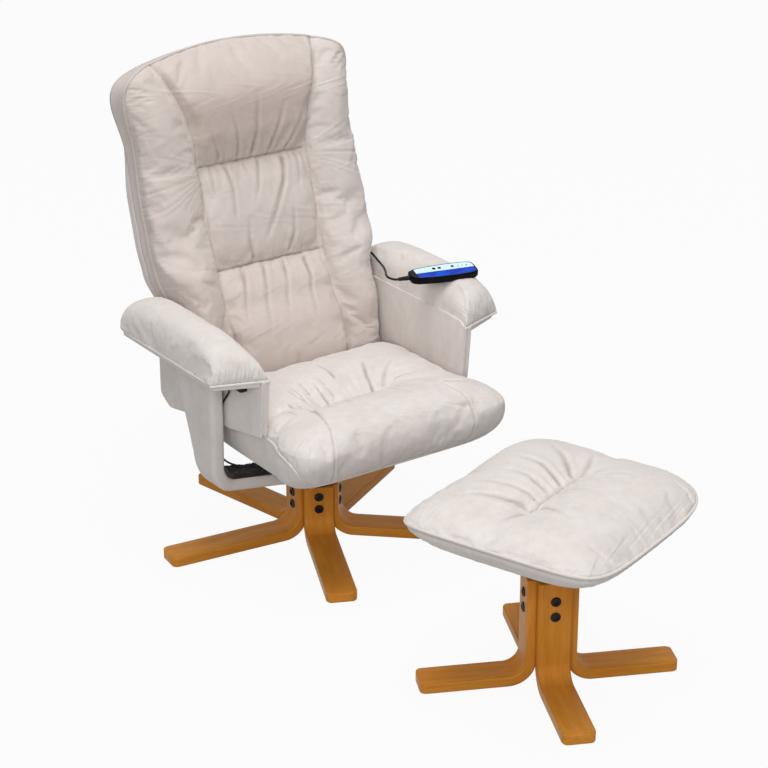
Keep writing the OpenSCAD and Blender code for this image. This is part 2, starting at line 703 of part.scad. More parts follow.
// Section of an arm pad, as shares of its width and height, from the inner edge
pad_shares = [[0, 0], [0, 0.30], [0.02, 0.52], [0.09, 0.74], [0.22, 0.90], [0.40, 0.985], [0.58, 1],
    [0.74, 0.95], [0.88, 0.78], [0.965, 0.52], [1, 0.22], [1, 0.06], [0.97, 0]];
// Stations along the pad: distance from the front or the rear as a share of its
// height, share of the full height, share of the full width
pad_front_shares = [[0, 0.10, 1], [0.03, 0.33, 1], [0.09, 0.50, 1], [0.25, 0.67, 1], [0.5, 0.80, 1],
    [0.95, 0.91, 1], [1.5, 0.975, 1]];
pad_mid_shares = [0.36, 0.5, 0.62];
pad_rear_shares = [[1.35, 0.96, 1], [0.85, 0.87, 1], [0.45, 0.70, 0.97], [0.2, 0.50, 0.92],
    [0.06, 0.28, 0.84],
    [0, 0.08, 0.78]];
function pad_ring(y, h, w) = [for (s = pad_shares)
    [arm_in_x + s.x * w * (arm_out_x - arm_in_x), y + arm_slant * s.x
        * clamp01(1 - (y - arm_front_y) / arm_pad_h / 2),
        arm_pad_z + s.y * h * arm_pad_h]];
module arm_pad() {
    l = arm_rear_y - arm_front_y;
    color(suede) loft(concat(
        [for (s = pad_front_shares) pad_ring(arm_front_y + s.x * arm_pad_h, s.y, s.z)],
        [for (t = pad_mid_shares) pad_ring(arm_front_y + t * l, 1, 1)],
        [for (s = pad_rear_shares) pad_ring(arm_rear_y - s.x * arm_pad_h, s.y, s.z)]));
}

// Backrest. b runs up the board's chord and c rearward from its front face.
function bow(b) = back_sag - back_out_r + sqrt(back_out_r * back_out_r - pow(b - back_l / 2, 2));
function back_pt(b, c) = let (d = c + bow(b))
    [back_y + b * sin(back_a) + d * cos(back_a), back_z + b * cos(back_a) - d * sin(back_a)];
back_top_pad = 26;
back_form_l = back_l + back_top_pad;
back_arch = 23;
back_arch_x = 190;
back_corner_r = 90;
// Widening of the back: share of the way up, and share of the flare
back_flare_shares = [[0, 0], [0.28, 0], [0.394, 0.87], [0.46, 1], [0.59, 1], [0.73, 0.78], [0.946, 1.17],
    [1, 1.17]];
function row_at(rows, t, i = 0) =
    i >= len(rows) - 1 ? rows[len(rows) - 1].y :
    t <= rows[i + 1].x ? lerp(rows[i].y, rows[i + 1].y, ease((t - rows[i].x) / (rows[i + 1].x - rows[i].x))) :
    row_at(rows, t, i + 1);
function back_half(b) = back_low_w + back_flare * row_at(back_flare_shares, b / back_form_l);
function back_top_b(x) = back_form_l - back_arch * pow(x / back_arch_x, 2);
// The bow is drawn in straight stretches that every layer of the back shares
back_step = back_form_l / arc_n;
function back_line_pt(b, c) = let (i = floor(b / back_step), t = b / back_step - i)
    lerp(back_pt(i * back_step, c), back_pt((i + 1) * back_step, c), t);
function back_stops(b0, b1) = concat([b0],
    [for (i = [-1:arc_n + 1]) if (i * back_step > b0 + tiny && i * back_step < b1 - tiny) i * back_step],
        [b1]);
module back_band(c0, c1, b0, b1) {
    stops = back_stops(b0, b1);
    polygon(concat([for (b = stops) back_line_pt(b, c0)],
        [for (i = [len(stops) - 1:-1:0]) back_line_pt(stops[i], c1)]));
}
// The back's outline drawn in by e, with its bottom edge at b0
module back_outline(e, b0) {
    r = back_corner_r - e;
    top = back_top_b(back_top_w - back_corner_r) - e;
    half = concat(
        [for (i = [4:arc_n]) let (b = (top - r) * i / arc_n) [back_half(b) - e, b]],
        arc([back_half(top - r) - e - r, top - r], r, 5, 80, 6),
        [for (i = [4:-1:0]) let (x = back_arch_x * i / 5) [x, back_top_b(x) - e]]);
    polygon(concat([[back_low_w - e, b0]], half, [for (i = [len(half) - 2:-1:0]) [-half[i].x, half[i].y]],
        [[-back_low_w + e, b0]]));
}
module back_cut(e, b0) {
    translate([0, back_y, back_z]) rotate([90 - back_a, 0, 0])
        linear_extrude(back_l, center = true) back_outline(e, b0);
}
// Sets a child's +Z rearward and square to the bowed board
module on_back(x, b, c = 0) {
    p = back_pt(b, c);
    translate([x, p.x, p.y]) rotate([-90 - back_a - asin((back_l / 2 - b) / back_out_r), 0, 0]) children();
}
back_board_in = 8;
back_low_motor = [85, 150];
back_high_motor = [95, 420];
back_motor_places = [back_low_motor, back_high_motor];
heat_low_b = 210;
heat_high_b = 340;
heat_half_w = 100;
heat_t = 3;
module back_board() {
    color(raw_wood) difference() {
        intersection() {
            side_slab(4 * back_top_w) back_band(0, back_board_t, 0, back_form_l);
            back_cut(back_board_in, 0);
        }
        side_slab(2 * (heat_half_w + seat_gap)) back_band(-cut, heat_t, heat_low_b - seat_gap, heat_high_b
            + seat_gap);
        for (m = back_motor_places) for (x = [-1, 1]) on_back(x * m.x, m.y, -cut)
            cylinder(h = back_board_t + 2 * cut, r = back_motor_r + bolt_gap_r);
    }
}
module back_motors() {
    color(black) for (m = back_motor_places) for (x = [-1, 1]) on_back(x * m.x, m.y, seat_gap) {
        cylinder(h = back_board_t, r = back_motor_r);
        translate([0, 0, back_board_t]) cylinder(h = motor_flange_t, r = motor_flange_r);
        translate([0, 0, back_board_t]) cylinder(h = back_board_t, r = back_motor_r - motor_flange_t);
    }
}
module heating_pad() {
    color(black) side_slab(2 * heat_half_w) back_band(0, heat_t, heat_low_b, heat_high_b);
}
cover_wall = 3;
cover_in = 2;
cover_low_b = 25;
module back_cover() {
    rim = back_board_in - cover_in + 2 * cover_wall;
    color(suede) difference() {
        intersection() {
            side_slab(4 * back_top_w) back_band(back_board_t, back_board_t + rear_cover_t, cover_low_b,
                back_form_l);
            back_cut(cover_in, cover_low_b);
        }
        intersection() {
            side_slab(4 * back_top_w)
                back_band(back_board_t - cut, back_board_t + rear_cover_t - cover_wall, -cover_low_b,
                    back_form_l);
            back_cut(cover_in + rim, -cover_low_b);
        }
    }
}
strap_x = 100;
strap_w = 40;
strap_t = 5;
strap_low_b = -7;
strap_high_b = 110;
tube_past_rail = 12;
tube_half_w = rail_x + tube_past_rail;
crank_slot_low = 3;
crank_slot_high = 8;
crank_slot_in = crank_l - crank_slot_low;
crank_slot_out = crank_l + crank_slot_high;
module back_hinge_frame() {
    color(steel) {
        translate([-tube_half_w, hinge_y, hinge_z]) rotate([0, 90, 0])
            cylinder(h = 2 * tube_half_w, r = hinge_r);
        for (x = [-strap_x, strap_x]) side_slab(strap_w, x)
            back_band(back_board_t, back_board_t + strap_t, strap_low_b, strap_high_b);
        side_slab(crank_t) translate([hinge_y, hinge_z]) rotate(crank_a) difference() {
            translate([-crank_w / 2, -crank_slot_out - crank_w / 2])
                square([crank_w, crank_slot_out + crank_w / 2]);
            for (r = [crank_slot_in, crank_slot_out]) translate([0, -r]) circle(r = rod_pin_r + slot_gap);
            translate([-rod_pin_r - slot_gap, -crank_slot_out])
                square([2 * (rod_pin_r + slot_gap), crank_slot_out - crank_slot_in]);
        }
    }
}
// Rows of the back cushion: share of the way up, and share of its fullest depth
back_edge_t = 36;
back_mid_shares = [[0, 0.70], [0.029, 0.80], [0.097, 1], [0.171, 0.975], [0.27, 0.765], [0.365, 0.625],
    [0.44, 0.695], [0.51, 0.73], [0.585, 0.705], [0.661, 0.66], [0.75, 0.915], [0.84, 1], [0.92, 0.88],
        [1, 0.61]];
back_wing_shares = [[0, 0.575], [0.08, 0.66], [0.197, 0.765], [0.342, 0.78], [0.526, 0.73], [0.657, 0.75],
    [0.79, 0.78], [0.92, 0.695], [1, 0.52]];
back_xs = [-1, -0.98, -0.91, -0.81, -0.7, -0.62, -0.57, -0.52, -0.47, -0.38, -0.2, 0,
    0.2, 0.38, 0.47, 0.52, 0.57, 0.62, 0.7, 0.81, 0.91, 0.98, 1];
back_ys = [-1, -0.95, -0.87, -0.76, -0.62, -0.46, -0.36, -0.31, -0.27, -0.23, -0.17, -0.05, 0.1, 0.22,
    0.28, 0.32, 0.36, 0.42, 0.52, 0.68, 0.82, 0.92, 0.97, 1];
back_seam_x = 137;
back_seam_spread = 65;
back_low_seam_b = back_form_l * back_mid_shares[5].x;
back_high_seam_b = back_form_l * back_mid_shares[9].x;
back_seam_d = 9;
back_seam_w = 12;
back_round_n = 16;
back_foot_n = 14;
back_side_share = 0.74;
back_side_p = 3.4;
back_head_share = 0.845;
back_head_p = 2.4;
back_head_root = 2;
// Swelling of the wings away from their seams: share of the way up, and share of the fullest depth
back_swell_shares = [[0, 0.06], [0.05, 0.11], [0.12, 0.217], [0.223, 0.348], [0.355, 0.33], [0.447, 0.157],
    [0.657, 0.087], [0.854, 0.122], [1, 0.087]];
back_swell_reach = 75;
// Bulge of the sides past the piping: share of the way up, and share of the bulge
back_bulge = 14;
back_bulge_shares = [[0, 0], [0.33, 0], [0.46, 0.57], [0.72, 0.71], [0.854, 1], [0.92, 0.93], [1, 0.21]];
back_wall_share = 0.985;
// Where a unit point of the back cushion lies: across, and up the board
function back_uv(x, y) =
    let (p = squircle([x, y], y > 0 ? back_round_n : back_foot_n),
        b = (p.y + 1) / 2 * back_top_b(p.x * back_top_w))
    [p.x * back_half(b), b, p.x];
function back_seam_at(b) =
    let (t = clamp01((b - back_high_seam_b) / (back_form_l - back_high_seam_b)))
    back_seam_x + back_seam_spread * pow(t, 1.6);
// Roundness of the cushion's sides and head, from 1 over the middle to 0 at the rim
function back_round(t, from, p, root) = pow(1 - pow(clamp01((t - from) / (1 - from)), p), 1 / root);
function back_side(q) = back_round(abs(q.z), back_side_share, back_side_p, back_side_p);
function back_bulge_at(q) = let (side = back_side(q))
    sign(q.x) * back_bulge * row_at(back_bulge_shares, q.y / back_form_l) * 4 * side * (1 - side);
function back_depth(q) =
    let (off = abs(q.x) - back_seam_at(q.y), t = q.y / back_form_l,
        centre = back_pad_t * row_at(back_mid_shares, t),
        wing = back_pad_t * (row_at(back_wing_shares, t)
            + row_at(back_swell_shares, t) * ease(off / back_swell_reach)),
        side = back_side(q), head = back_round(t, back_head_share, back_head_p, back_head_root),
        dents = bump(off, back_seam_w) + (off < 0 ? bump(q.y - back_low_seam_b, back_seam_w)
            + bump(q.y - back_high_seam_b, back_seam_w) : 0))
    back_edge_t + (lerp(centre, wing, ease(off / (2 * back_seam_w) + 0.5)) - back_edge_t) * side * head
        - back_seam_d * min(dents, 1) * side;
function back_place(q, c) = let (p = back_pt(q.y, c)) [q.x, p.x, p.y];
function back_top_pt(x, y) = let (q = back_uv(x, y))
    back_place([q.x + back_bulge_at(q), q.y, q.z], -back_depth(q));
function back_side_pt(x, y) = let (q = back_uv(x, y)) back_place([q.x * back_wall_share, q.y, q.z],
    -back_depth(q) / 2);
function back_low_pt(x, y) = let (q = back_uv(x, y)) back_place(q, -seat_gap);
module back_cushion() {
    color(suede) pad_form(back_xs, back_ys, function(x, y) back_top_pt(x, y),
        function(k, x, y) back_side_pt(x, y), 1, function(x, y) back_low_pt(x, y));
}

// Recline lock: a gas strut under the seat, let go by the lever
strut_front_y = -70;
strut_rear_y = 100;
strut_wall = 2;
strut_end_t = 8;
stub_r = 6;
stub_l = 16;
piston_rear_y = 74;
piston_t = 12;
fork_y = 160;
fork_t = 6;
fork_rear_y = 192;
fork_gap = 1.5;
fork_cheek = 4.5;
fork_h = 16;
bracket_t = 6;
bracket_w = 40;
bracket_low = 16;
bracket_rear_y = 26;
module along_y(y, x = 0, z = strut_z) { translate([x, y, z]) rotate([-90, 0, 0]) children(); }
module gas_strut() {
    color(black) difference() {
        union() {
            along_y(strut_front_y) cylinder(h = strut_rear_y - strut_front_y, r = strut_r);
            along_y(strut_front_y - stub_l) cylinder(h = stub_l + cut, r = stub_r);
        }
        along_y(strut_front_y + strut_end_t)
            cylinder(h = strut_rear_y - strut_front_y - 2 * strut_end_t, r = strut_r - strut_wall);
        along_y(strut_rear_y - 2 * strut_end_t) cylinder(h = 3 * strut_end_t, r = rod_r + run_gap);
    }
}
module strut_rod() {
    color(steel) {
        along_y(piston_rear_y - piston_t) cylinder(h = fork_y - piston_rear_y + piston_t + cut, r = rod_r);
        along_y(piston_rear_y - piston_t) cylinder(h = piston_t, r = strut_r - strut_wall - run_gap);
        translate([-crank_t / 2 - fork_gap - fork_cheek, fork_y, strut_z - fork_h / 2])
            cube([crank_t + 2 * (fork_gap + fork_cheek), fork_t, fork_h]);
        for (side = [0, 1]) mirror([side, 0, 0])
            translate([crank_t / 2 + fork_gap, fork_y, strut_z - fork_h / 2])
                cube([fork_cheek, fork_rear_y - fork_y, fork_h]);
        translate([-crank_t / 2 - fork_gap - tiny, rod_pin_y, strut_z]) rotate([0, 90, 0])
            cylinder(h = crank_t + 2 * (fork_gap + tiny), r = rod_pin_r);
    }
}
module strut_brackets() {
    color(steel) {
        difference() {
            translate([-bracket_w / 2, strut_front_y - stub_l + cut, strut_z - bracket_low])
                cube([bracket_w, bracket_t, seat_board_z - strut_z + bracket_low]);
            along_y(strut_front_y - stub_l) cylinder(h = stub_l, r = stub_r + run_gap);
        }
        difference() {
            translate([-bracket_w / 2, bracket_rear_y, strut_z - bracket_low])
                cube([bracket_w, bracket_t, seat_board_z - strut_z + bracket_low]);
            along_y(bracket_rear_y - cut) cylinder(h = bracket_t + 2 * cut, r = strut_r + run_gap);
        }
    }
}

// Recline lever under the right arm
lever_out = 21;
lever_x = -(arm_in_x + panel_t + lever_out);
lever_y = -110;
lever_drop = 9;
lever_z = arm_board_z - lever_drop;
lever_pin_r = 3;
lever_t = 6;
lever_gap = 1;
lever_h = 12;
lever_cheek = 3;
lever_front_l = 56;
lever_rear_l = 13;
paddle_l = 26;
paddle_w = 18;
paddle_t = 5;
paddle_drop = 7;
stop_w = 8;
stop_t = 4;
stop_l = 29;
stop_low_z = arm_board_z - stop_l;
module lever_bracket() {
    color(black) {
        // tab that the cable's sheath ends against
        translate([lever_x - stop_w / 2, lever_y + lever_rear_l + lever_gap, stop_low_z])
            cube([stop_w, stop_t, arm_board_z - stop_low_z]);
        for (side = [-1, 1]) side_slab(lever_cheek, lever_x + side
            * (lever_t / 2 + lever_gap + lever_cheek / 2))
            translate([lever_y - lever_h / 2, lever_z - lever_h / 2])
                square([lever_h, lever_drop + lever_h / 2]);
        translate([lever_x, lever_y, lever_z]) rotate([0, 90, 0])
            cylinder(h = lever_t + 2 * lever_gap + lever_cheek, r = lever_pin_r, center = true);
    }
}
module release_lever() {
    color(black) difference() {
        union() {
            side_slab(lever_t, lever_x) union() {
                translate([lever_y, lever_z]) circle(r = lever_h / 2);
                translate([lever_y, lever_z - lever_h / 3]) square([lever_rear_l, lever_h / 2]);
                polygon([[lever_y, lever_z + lever_h / 4], [lever_y - lever_front_l + paddle_l / 2,
                    lever_z - paddle_drop + paddle_t],
                    [lever_y - lever_front_l, lever_z - paddle_drop + paddle_t],
                        [lever_y - lever_front_l, lever_z - paddle_drop],
                    [lever_y - lever_front_l + paddle_l / 2, lever_z - paddle_drop],
                        [lever_y, lever_z - lever_h / 3]]);
            }
            translate([lever_x, lever_y - lever_front_l, lever_z - paddle_drop]) linear_extrude(paddle_t)
                polygon(concat(
                arc([-paddle_w / 4, -paddle_l / 2 + paddle_w / 4], paddle_w / 4, 180, 270, 6),
                arc([paddle_w / 4, -paddle_l / 2 + paddle_w / 4], paddle_w / 4, 270, 360, 6),
                [[paddle_w / 2, paddle_l / 2], [-paddle_w / 2, paddle_l / 2]]));
        }
        translate([lever_x, lever_y, lever_z]) rotate([0, 90, 0])
            cylinder(h = 2 * lever_t, r = lever_pin_r + run_gap, center = true);
    }
}
cable_d = 4;
// Route of the release cable, from the strut through the yoke to the lever
cable_route = [[0, -86.5, 225.6], [0, -93, 225.6], [-14, -102, 225], [-45, -106, 224], [-90, -104, 224],
    [-140, -96, 225], [-185, -82, 228], [-225, -60, 236], [-250, -45, 248], [-262, -40, 268],
        [-265.5, -40, 295],
    [-265.5, -46, 345], [-265.5, -58, 385], [-265.5, -78, 412], [-266.5, -91, 428], [-272, -96, 438],
    [-279, -96, 442], [-283, -94, 446], [-283, -94, 449]];
module release_cable() { color(black) cord(cable_route, cable_d, 1); }

// Control box under the seat, with the mains inlet at its rear
box_x = 95;
box_w = 70;
box_front_y = -40;
box_l = 100;
box_h = 30;
box_wall = 2.5;
lid_t = 3;
box_top_z = seat_board_z - rail_t / 2;
inlet_z = box_top_z - box_h / 2;
inlet_w = 28;
inlet_h = 20;
inlet_d = 18;
inlet_lip = 2;
pin_w = 2;
pin_h = 5;
pin_l = 11;
module control_box() {
    color(black) difference() {
        translate([box_x, box_front_y, box_top_z - box_h + lid_t]) cube([box_w, box_l, box_h - lid_t]);
        translate([box_x + box_wall, box_front_y + box_wall, box_top_z - box_h + lid_t - cut])
            cube([box_w - 2 * box_wall, box_l - 2 * box_wall, box_h - lid_t - box_wall + cut]);
        translate([box_x + box_wall * 2, box_front_y + box_l - box_wall - cut, inlet_z - inlet_h / 2])
            cube([inlet_w, box_wall + 2 * cut, inlet_h]);
    }
}
module control_lid() {
    color(black) translate([box_x, box_front_y, box_top_z - box_h]) cube([box_w, box_l, lid_t]);
}
module power_inlet() {
    color(black) translate([box_x + box_wall * 2, box_front_y + box_l, inlet_z]) {
        difference() {
            union() {
                translate([0, -inlet_d, -inlet_h / 2]) cube([inlet_w, inlet_d, inlet_h]);
                translate([-inlet_lip, 0, -inlet_h / 2 - inlet_lip])
                    cube([inlet_w + 2 * inlet_lip, inlet_lip, inlet_h + 2 * inlet_lip]);
            }
            translate([2 * inlet_lip, -inlet_d + 2 * inlet_lip, -inlet_h / 2 + 2 * inlet_lip])
                cube([inlet_w - 4 * inlet_lip, inlet_d, inlet_h - 4 * inlet_lip]);
        }
        for (k = [-1, 0, 1])
            translate([inlet_w / 2 + k * 3 * pin_w - pin_w / 2, -inlet_d + 2 * inlet_lip - tiny,
                -pin_h / 2 + abs(k)])
                cube([pin_w, pin_l, pin_h]);
    }
}

// Lead from the control box up the left panel to the handset
clip_zs = [340, 400, 460];
clip_h = 8;
clip_wall = 1;
lead_x = arm_in_x + panel_t / 2;
lead_y = panel_rear_y + lead_d / 2 + clip_wall;
// Route of the lead's clipped stretch, from the box to under the arm
run_route = [[150, 60, 232], [150, 70, 232], [154, 86, 231], [166, 105, 229], [184, 128, 230],
    [204, 152, 236],
    [224, 176, 248], [243, 197, 268], [252, 207, 292], [254, 209.5, 318], [254, 209.5, 345],
        [254, 209.5, 395],
    [254, 209.5, 435], [254, 209.5, 470]];
// Route of the lead's free stretch, over the arm to the handset
lead_route = [[254, 209.5, 470], [254, 210, 475], [254, 213, 481], [254, 220, 486], [254, 229, 488],
    [254, 235, 494], [255, 236, 504], [257, 232, 517], [260, 222, 531], [262, 206, 542],
    [261, 180, 549.5], [256, 150, 551], [251, 128, 549], [244, 103, 547], [234, 78, 549], [220, 50, 554],
    [205, 25, 560], [192, 3, 565], [180, -15, 570], [168, -33, 573.5], [160, -50, 575.5],
    [159.5, -62, 575.6], [163.5, -70, 575.1], [169.5, -73.1, 574.7], [178, -75.1, 574.7]];
module lead_run() { color(black) cord(run_route, lead_d, 1); }
module handset_lead() { color(black) cord(lead_route, lead_d, 2); }
module lead_clips() {
    color(black) for (z = clip_zs) translate([0, 0, z]) difference() {
        union() {
            translate([lead_x, lead_y, 0]) cylinder(h = clip_h, r = lead_d / 2 + clip_wall);
            translate([lead_x - panel_t / 4, panel_rear_y, 0])
                cube([panel_t / 2, lead_y - panel_rear_y, clip_h]);
        }
        translate([lead_x, lead_y, -cut]) cylinder(h = clip_h + 2 * cut, r = lead_d / 2 + run_gap);
    }
}

// Handset, lying across the left arm
hs_in = 25;
hs_x = arm_in_x + hs_in;
hs_y = -97;
hs_turn = -14;
hs_tilt = 9;
hs_lift = -3.6;
hs_wall = 2;
hs_z = arm_pad_z + arm_pad_h + hs_lift;
hs_face_d = 1;
key_travel = 1;
key_gap = 0.1;
key_flange = 1;
key_y = 11;
hs_keys = [[-17, "left"], [-4, "right"], [26, "power"]];
hs_relief_l = 24;
hs_relief_shares = [1, 0.75, 1.08, 0.05];
hs_face_shares = [0.40, 0.87];
// Half of the handset's outline from its lead end, as shares of half its length and width
hs_shares = [[-1, 0.22], [-0.985, 0.42], [-0.94, 0.60], [-0.84, 0.74], [-0.6, 0.86], [-0.2, 0.96], [0.2, 1],
    [0.6, 0.97], [0.86, 0.88], [0.95, 0.78], [0.985, 0.6], [1, 0.3]];
function hs_side(e) = [for (s = hs_shares) [s.x * (hs_l / 2 - e), s.y * (hs_w / 2 - e)]];
module hs_outline(e = 0) {
    polygon(concat(hs_side(e), [for (i = [len(hs_shares) - 1:-1:0]) [hs_side(e)[i].x, -hs_side(e)[i].y]]));
}
module on_handset() { translate([hs_x, hs_y, hs_z]) rotate([0, 0, hs_turn]) rotate([hs_tilt, 0, 0])
    children(); }
hs_face_in = 4;
// The faceplates: the pale one at the rear holds the keys, the blue one is at the front
module hs_half(rear, e) {
    intersection() {
        hs_outline(hs_face_in + e);
        translate([-hs_l * hs_face_shares[0] + e, rear ? e : -hs_w / 2])
            square([hs_l * hs_face_shares[1], hs_w / 2 - e]);
    }
}
hs_h = hs_base_h + hs_top_h;
hs_step = 4;
module handset_base() {
    color(black) on_handset() difference() {
        union() {
            linear_extrude(hs_step) hs_outline(hs_step / 2);
            translate([0, 0, hs_step]) linear_extrude(hs_base_h - hs_step) hs_outline();
        }
        translate([0, 0, hs_wall]) linear_extrude(hs_base_h) hs_outline(hs_step / 2 + hs_wall);
    }
}
module handset_circuit() {
    color("darkgreen") on_handset() translate([0, 0, hs_wall + hs_step / 2]) linear_extrude(hs_wall)
        hs_outline(hs_step / 2 + hs_wall + seat_gap);
}
module handset_top() {
    color(black) on_handset() difference() {
        union() {
            translate([0, 0, hs_base_h]) linear_extrude(hs_top_h - hs_wall) hs_outline();
            translate([0, 0, hs_h - hs_wall]) linear_extrude(hs_wall) hs_outline(hs_wall);
        }
        translate([0, 0, hs_base_h - cut]) linear_extrude(hs_top_h - 2 * hs_wall + cut)
            hs_outline(hs_step / 2 + hs_wall);
        translate([0, 0, hs_h - hs_face_d]) linear_extrude(hs_wall) {
            hs_half(true, 0);
            hs_half(false, 0);
        }
        for (k = hs_keys) translate([k[0], key_y, hs_base_h]) cylinder(h = hs_top_h, r = key_r + key_gap);
    }
}
module handset_keys_plate() {
    color(plate_white) on_handset() difference() {
        translate([0, 0, hs_h - hs_face_d]) linear_extrude(hs_face_d) hs_half(true, key_gap);
        for (k = hs_keys) translate([k[0], key_y, hs_base_h]) cylinder(h = hs_top_h + cut, r = key_r
            + key_gap);
    }
}
module handset_panel() {
    color(panel_blue) on_handset() translate([0, 0, hs_h - hs_face_d]) linear_extrude(hs_face_d)
        hs_half(false, key_gap);
}
module handset_key(k) {
    low_z = hs_wall * 2 + hs_step / 2 + key_travel + seat_gap;
    color(k == 2 ? "mediumblue" : black) on_handset() translate([hs_keys[k][0], key_y, 0]) {
        translate([0, 0, low_z]) cylinder(h = hs_h + key_travel + key_gap - low_z, r = key_r);
        translate([0, 0, low_z]) cylinder(h = key_flange, r = key_r + key_flange);
    }
}
module strain_relief() {
    steps = 6;
    color(black) on_handset() translate([-hs_l / 2, 0, hs_h / 2]) rotate([0, -90, 0]) difference() {
        union() {
            cylinder(h = hs_relief_l, r1 = lead_d, r2 = lead_d * hs_relief_shares[1]);
            for (i = [1:steps - 1]) translate([0, 0, i * hs_relief_l / steps])
                cylinder(h = hs_relief_l / steps / 2, r = lead_d
                    * (hs_relief_shares[2] - hs_relief_shares[3] * i));
        }
        translate([0, 0, hs_relief_l * hs_relief_shares[1]]) cylinder(h = hs_relief_l, r = lead_d / 2
            + run_gap);
    }
}

// Footstool
stool_rise = 58;
stool_low_z = 150;
stool_post_r = 24;
stool_plate_r = 60;
stool_plate_t = 6;
stool_hub_z = stool_leg_top_z + seat_gap;
stool_board_z = stool_hub_z + stool_rise;
stool_board_half = 128;
stool_z = stool_board_z + seat_board_t;
stool_sides = 4;
module at_stool() { translate([stool_x, stool_y, 0]) children(); }
function stool_leg_a(k) = stool_turn - 45 + 90 * k;
module stool_hub() {
    color(black) at_stool() difference() {
        union() {
            translate([0, 0, stool_low_z]) linear_extrude(stool_hub_z - stool_low_z) difference() {
                polygon(flat_tube(stool_sides, stool_face_r, stool_leg_a(0)));
                polygon(flat_tube(stool_sides, stool_face_r - hub_wall, stool_leg_a(0)));
            }
            translate([0, 0, stool_hub_z]) cylinder(h = hub_cap_t, r = stool_face_r + leg_t - cap_t);
            translate([0, 0, stool_hub_z]) cylinder(h = stool_rise, r = stool_post_r);
            translate([0, 0, stool_board_z - stool_plate_t]) cylinder(h = stool_plate_t, r = stool_plate_r);
        }
        for (k = [0:stool_sides - 1]) for (m = [0, 1]) facing(stool_leg_a(k))
            translate([stool_face_r - hub_wall - cut, 0, stool_bolt_high_z - m * stool_bolt_gap])
                rotate([0, 90, 0])
                cylinder(h = hub_wall + 2 * cut, r = bolt_r + run_gap);
    }
}
module stool_legs() {
    color(amber_wood) at_stool() for (k = [0:stool_sides - 1]) facing(stool_leg_a(k))
        leg(stool_reach, stool_leg_top_z, stool_face_r, stool_sides, stool_bolt_high_z, stool_bolt_gap);
}
module stool_bolts() {
    color(black) at_stool() for (k = [0:stool_sides - 1]) facing(stool_leg_a(k))
        leg_bolt_pair(stool_face_r, stool_bolt_high_z, stool_bolt_gap);
}
module stool_glides() {
    color(black) at_stool() for (k = [0:stool_sides - 1]) facing(stool_leg_a(k)) glide(stool_reach);
}
module stool_board() {
    color(raw_wood) at_stool() rotate([0, 0, stool_turn]) translate([-stool_board_half, -stool_board_half,
        stool_board_z])
        cube([2 * stool_board_half, 2 * stool_board_half, seat_board_t]);
}
stool_xs = [-1, -0.96, -0.88, -0.76, -0.6, -0.48, -0.4, -0.3, -0.16, 0, 0.16, 0.3, 0.4, 0.48, 0.6, 0.76,
    0.88, 0.96, 1];
stool_ys = [-1, -0.95, -0.86, -0.72, -0.54, -0.36, -0.22, -0.11, 0, 0.11, 0.22, 0.36, 0.54, 0.72, 0.86,
    0.95, 1];
stool_corner_n = 7.4;
stool_side_h = 75;
stool_front_h = 53;
stool_foot_share = 0.66;
stool_wall_shares = [[0.28, 0.97], [0.8, 0.785]];
stool_tuft_share = 0.38;
stool_tuft_soft_share = 0.13;
stool_tuft_d = 16;
function stool_plan(p, f) = [stool_half_w * p.x * f, stool_half_d * p.y * f];
function stool_edge_h(p) = lerp(stool_front_h, stool_side_h, pow(abs(p.x), 2.5)
    * (1 - 0.5 * pow(abs(p.y), 6)));
function stool_top(x, y) =
    let (p = squircle([x, y], stool_corner_n), s = max(abs(x), abs(y)), e = stool_edge_h(p),
        past = max(0, abs(p.x) - stool_tuft_share))
    concat(stool_plan(p, 1), stool_z + e + (stool_crown_h - e) * pow(1 - pow(s, 2.6), 0.62)
        - stool_tuft_d * bump(p.y, stool_tuft_soft_share) * bump(past, stool_tuft_soft_share));
function stool_wall(k, x, y) =
    let (p = squircle([x, y], stool_corner_n), w = stool_wall_shares[k - 1])
    concat(stool_plan(p, w[1]), stool_z + stool_edge_h(p) * (1 - w[0]));
function stool_low(x, y) = concat(stool_plan(squircle([x, y], stool_corner_n), stool_foot_share), stool_z);
module stool_cushion() {
    color(suede) at_stool() rotate([0, 0, stool_turn]) pad_form(stool_xs, stool_ys, function(x, y)
        stool_top(x, y),
        function(k, x, y) stool_wall(k, x, y), len(stool_wall_shares), function(x, y) stool_low(x, y));
}

base_hub();
base_leg(0);  // base_leg_1
base_leg(1);  // base_leg_2
base_leg(2);  // base_leg_3
base_leg(3);  // base_leg_4
base_leg(4);  // base_leg_5
base_bolts();
base_glides();
swivel_bush();
thrust_bearing();
swivel_spindle();
spindle_clip();
yoke_cover();
yoke_bar();
yoke_bolts();
yoke_lining();
seat_risers();
seat_board();
seat_rails();
seat_cushion();
seat_motors();
mirror([1, 0, 0]) side_panel();  // side_panel_right
side_panel();  // side_panel_left
mirror([1, 0, 0]) arm_board();  // arm_board_right
arm_board();  // arm_board_left
mirror([1, 0, 0]) arm_pad();  // arm_pad_right
arm_pad();  // arm_pad_left
strut_brackets();
gas_strut();
strut_rod();
back_hinge_frame();
back_board();
back_motors();
heating_pad();
back_cushion();
back_cover();
lever_bracket();
release_lever();
release_cable();
control_box();
control_lid();
power_inlet();
lead_run();
lead_clips();
handset_lead();
strain_relief();
handset_base();
handset_circuit();
handset_top();
handset_keys_plate();
handset_panel();
handset_key(0);  // key_left
handset_key(1);  // key_right
handset_key(2);  // key_power
stool_hub();
stool_legs();
stool_bolts();
stool_glides();
stool_board();
stool_cushion();
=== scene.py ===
"""A swivel massage recliner with its footstool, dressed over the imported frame."""
import json
import math

